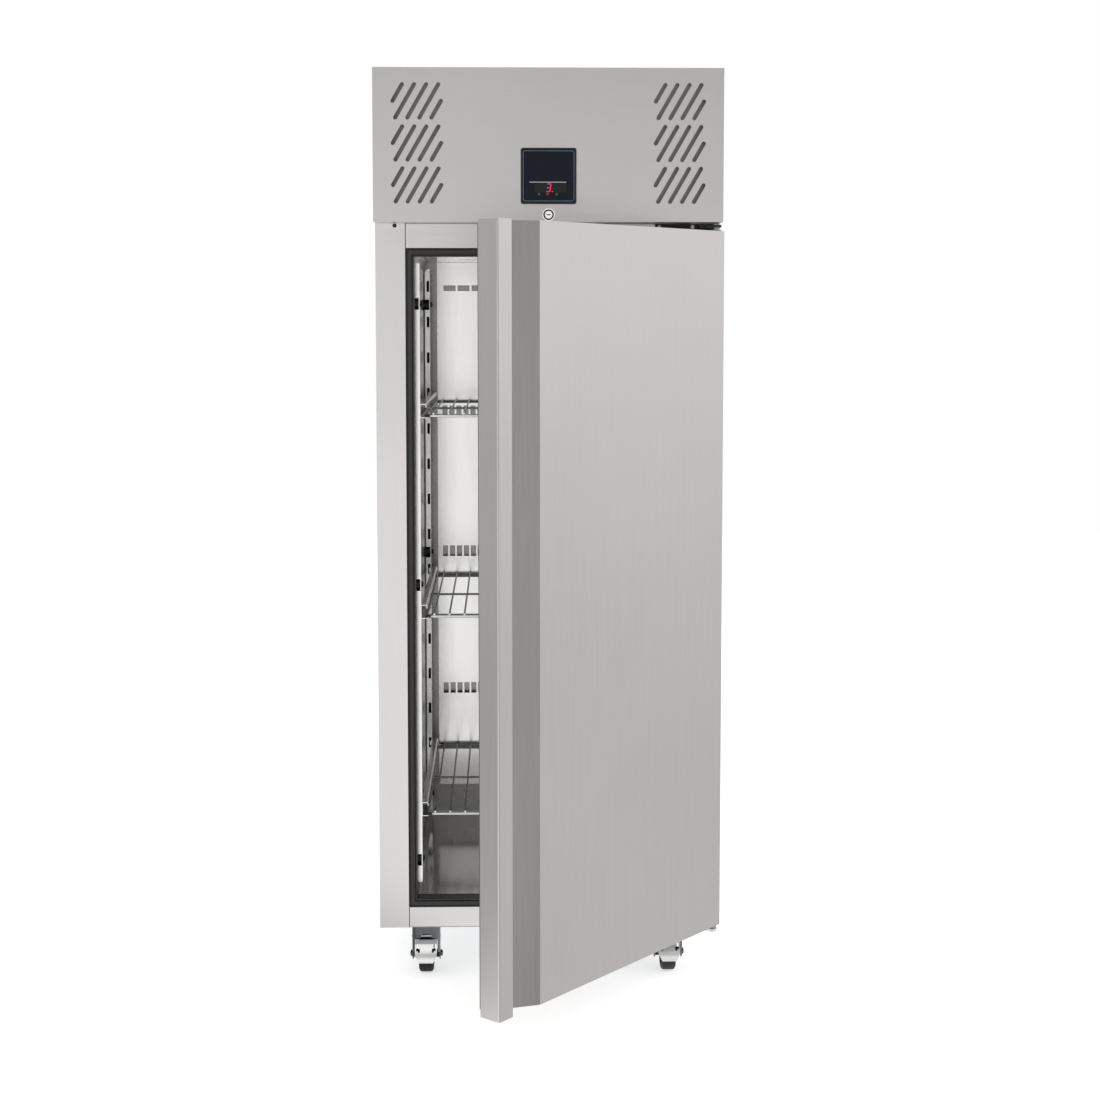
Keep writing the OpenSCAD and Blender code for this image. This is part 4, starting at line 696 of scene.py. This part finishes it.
class FRIDGE_OT_stage(bpy.types.Operator):
    """Pale floor, soft lamps, sky and the camera"""
    bl_idname = "fridge.stage"
    bl_label = "Studio"

    def execute(self, context):
        stage = settings("stage")
        self.floor(stage.floor)
        self.sky()
        for name, power, size, place, aim in (
            ("Key_lamp", stage.key_power, 2.6, (3.2, -2.2, 3.2), (0, 0, 0.9)),
            ("Fill_lamp", stage.fill_power, 2.4, (-3.0, -3.0, 2.2), (0, 0, 0.9)),
            ("Front_lamp", stage.front_power, 2.2, (-0.4, -4.6, 3.4), (0, -0.6, 0.6)),
        ):
            lamp = bpy.data.lights.new(name, "AREA")
            lamp.energy = power
            lamp.shape = "SQUARE"
            lamp.size = size
            holder = bpy.data.objects.new(name, lamp)
            context.scene.collection.objects.link(holder)
            holder.location = place
            holder.visible_glossy = False
            direction = Vector(aim) - Vector(place)
            holder.rotation_euler = direction.to_track_quat("-Z", "Y").to_euler()
        self.camera(context, stage)
        context.scene.view_settings.view_transform = "Standard"
        return {"FINISHED"}

    def camera(self, context, stage):
        """Looks at the fridge from where the picture was taken."""
        camera = bpy.data.cameras.new("Camera")
        camera.lens = stage.lens
        camera.sensor_width = 36
        camera.shift_y = CAMERA_SHIFT
        camera.clip_start = 0.05
        camera.clip_end = 100
        holder = bpy.data.objects.new("Camera", camera)
        context.scene.collection.objects.link(holder)
        holder.location = CAMERA_PLACE
        level = math.cos(CAMERA_PITCH)
        aim = Vector((math.sin(CAMERA_YAW) * level, math.cos(CAMERA_YAW) * level,
                      -math.sin(CAMERA_PITCH)))
        holder.rotation_euler = aim.to_track_quat("-Z", "Y").to_euler()
        context.scene.camera = holder

    def floor(self, width):
        """Pale floor that shows white to the camera and keeps the soft shadow."""
        h = width / 2
        z = -FLOOR_DROP * MM
        mesh = bpy.data.meshes.new("floor")
        mesh.from_pydata([(-h, -h, z), (h, -h, z), (h, h, z), (-h, h, z)], [], [(0, 1, 2, 3)])
        piece = bpy.data.objects.new("floor", mesh)
        bpy.context.scene.collection.objects.link(piece)
        material = bpy.data.materials.new("Painted_studio_floor")
        material.use_nodes = True
        tree = material.node_tree
        tree.nodes.clear()
        # Matt studio paint; the camera and clear parts see it lifted to white, so only the shadow
        # stays, and metal sees the tent over it.
        paint = add(tree, "BsdfDiffuse", {"Color": (*linear("E6E6E5"), 1)})
        ray = add(tree, "LightPath").outputs
        seen = add(tree, "Math", {0: ray["Is Camera Ray"], 1: ray["Is Transmission Ray"]},
                   operation="MAXIMUM")
        strength = add(tree, "Math", {0: seen.outputs[0], 1: 0.6}, operation="MULTIPLY")
        glow = add(tree, "Emission", {"Color": (1, 1, 1, 1), "Strength": strength.outputs[0]})
        both = add(tree, "AddShader", {0: paint.outputs[0], 1: glow.outputs[0]})
        place = add(tree, "TexCoord").outputs["Object"]
        from_door, from_front = (
            add(tree, "VectorMath", {0: place, 1: origin}, operation="SUBTRACT").outputs[0]
            for origin in (DOOR_ORIGIN, FRONT_ORIGIN))
        mirrored = add(tree, "Emission", {"Color": self.tent(tree, from_door, from_front)})
        whole = add(tree, "MixShader", {0: ray["Is Glossy Ray"], 1: both.outputs[0],
                                        2: mirrored.outputs[0]})
        add(tree, "OutputMaterial", {"Surface": whole.outputs[0]})
        mesh.materials.append(material)

    def tent(self, tree, way, left_way):
        """Level of the light tent as metal sees it along a direction: full ahead, paler low at the
        right, dim at the left, with a bright roof over a dim band, and a dark flag between the
        front and the right that the grip of the open door mirrors. How far left a direction goes
        comes from the second one."""
        upward = add(tree, "VectorMath", {0: way}, operation="NORMALIZE")
        height = add(tree, "SeparateXYZ", {0: upward.outputs[0]}).outputs["Z"]
        compass = []
        for direction in (way, left_way):
            flat = add(tree, "VectorMath", {0: direction, 1: (1, 1, 0)}, operation="MULTIPLY")
            compass.append(add(tree, "VectorMath", {0: flat.outputs[0]},
                               operation="NORMALIZE").outputs[0])
        side, left = (add(tree, "SeparateXYZ", {0: turned}).outputs["X"] for turned in compass)
        flag = add(tree, "VectorMath", {0: compass[0], 1: (math.sin(FLAG_TURN),
                                                           -math.cos(FLAG_TURN), 0)},
                   operation="DOT_PRODUCT").outputs["Value"]
        # Each ramp goes from one level to another between two values; the flag ends at the level
        # of the ramp before it.
        ramps = {}
        for name, value, start, end, first, last in (
            ("ahead", height, -0.02, 0.24, 1.19, 0.36),
            ("at_right", height, -0.13, 0.0, 0.735, 1.07),
            ("at_left", height, -0.35, 0.1, 0.5, 0.62),
            ("rightness", side, 0.3, 0.8, 0, 1),
            ("leftness", left, -1.0, -0.25, 1, 0),
            ("roof", height, 0.35, 0.6, 0, 1.1),
            ("flag_level", height, -0.06, 0.05, 0.385, 0.3),
            ("flag", flag, math.cos(FLAG_GONE), math.cos(FLAG_FULL), 1, "flag_level"),
        ):
            ramps[name] = add(tree, "MapRange", {
                "Value": value, "From Min": start, "From Max": end, "To Min": first,
                "To Max": ramps.get(last, last),
            }, interpolation_type="SMOOTHSTEP").outputs[0]
        front = add(tree, "Mix", {0: ramps["rightness"], 2: ramps["ahead"], 3: ramps["at_right"]})
        level = add(tree, "Mix", {0: ramps["leftness"], 2: front.outputs[0], 3: ramps["at_left"]})
        flagged = add(tree, "Math", {0: level.outputs[0], 1: ramps["flag"]}, operation="MULTIPLY")
        return add(tree, "Math", {0: flagged.outputs[0], 1: ramps["roof"]},
                   operation="MAXIMUM").outputs[0]

    def sky(self):
        """White to the camera, the light tent to metal, and a soft even level to matt surfaces."""
        world = bpy.data.worlds.new("Light_tent")
        bpy.context.scene.world = world
        world.use_nodes = True
        tree = world.node_tree
        tree.nodes.clear()
        way = add(tree, "TexCoord").outputs["Generated"]
        tent = add(tree, "Background", {"Color": self.tent(tree, way, way), "Strength": 1.0})
        soft = add(tree, "Background", {"Color": (1, 1, 1, 1), "Strength": 0.72})
        white = add(tree, "Background", {"Color": (1, 1, 1, 1), "Strength": 1.0})
        ray = add(tree, "LightPath").outputs
        seen = add(tree, "Math", {0: ray["Is Camera Ray"], 1: ray["Is Transmission Ray"]},
                   operation="MAXIMUM")
        metal = add(tree, "MixShader", {0: ray["Is Glossy Ray"], 1: soft.outputs[0],
                                        2: tent.outputs[0]})
        whole = add(tree, "MixShader", {0: seen.outputs[0], 1: metal.outputs[0],
                                        2: white.outputs[0]})
        add(tree, "OutputWorld", {"Surface": whole.outputs[0]})


OPERATORS = (FRIDGE_OT_shell, FRIDGE_OT_inside, FRIDGE_OT_door, FRIDGE_OT_seal,
             FRIDGE_OT_controller, FRIDGE_OT_cooling, FRIDGE_OT_castors, FRIDGE_OT_stage)


class FRIDGE_PT_sidebar(bpy.types.Panel):
    """Lists the steps and the values that they use"""
    bl_label = "Cabinet fridge"
    bl_idname = "FRIDGE_PT_sidebar"
    bl_space_type = "VIEW_3D"
    bl_region_type = "UI"
    bl_category = "Fridge"

    def draw(self, context):
        for operator in OPERATORS:
            self.layout.operator(operator.bl_idname)
        for name in GROUPS:
            box = self.layout.box()
            group = settings(name)
            for key in GROUPS[name].__annotations__:
                box.prop(group, key)


GROUPS = {"colours": FridgeColours, "sizes": FridgeSizes, "stage": FridgeStage}


def register():
    for cls in (*GROUPS.values(), *OPERATORS, FRIDGE_PT_sidebar):
        bpy.utils.register_class(cls)
    for name, cls in GROUPS.items():
        setattr(bpy.types.Scene, "fridge_" + name, PointerProperty(type=cls))


def unregister():
    for name in GROUPS:
        delattr(bpy.types.Scene, "fridge_" + name)
    for cls in (*GROUPS.values(), *OPERATORS, FRIDGE_PT_sidebar):
        bpy.utils.unregister_class(cls)


def main():
    register()
    for operator in OPERATORS:
        getattr(bpy.ops.fridge, operator.bl_idname.split(".")[1])()


if __name__ == "__main__":
    main()
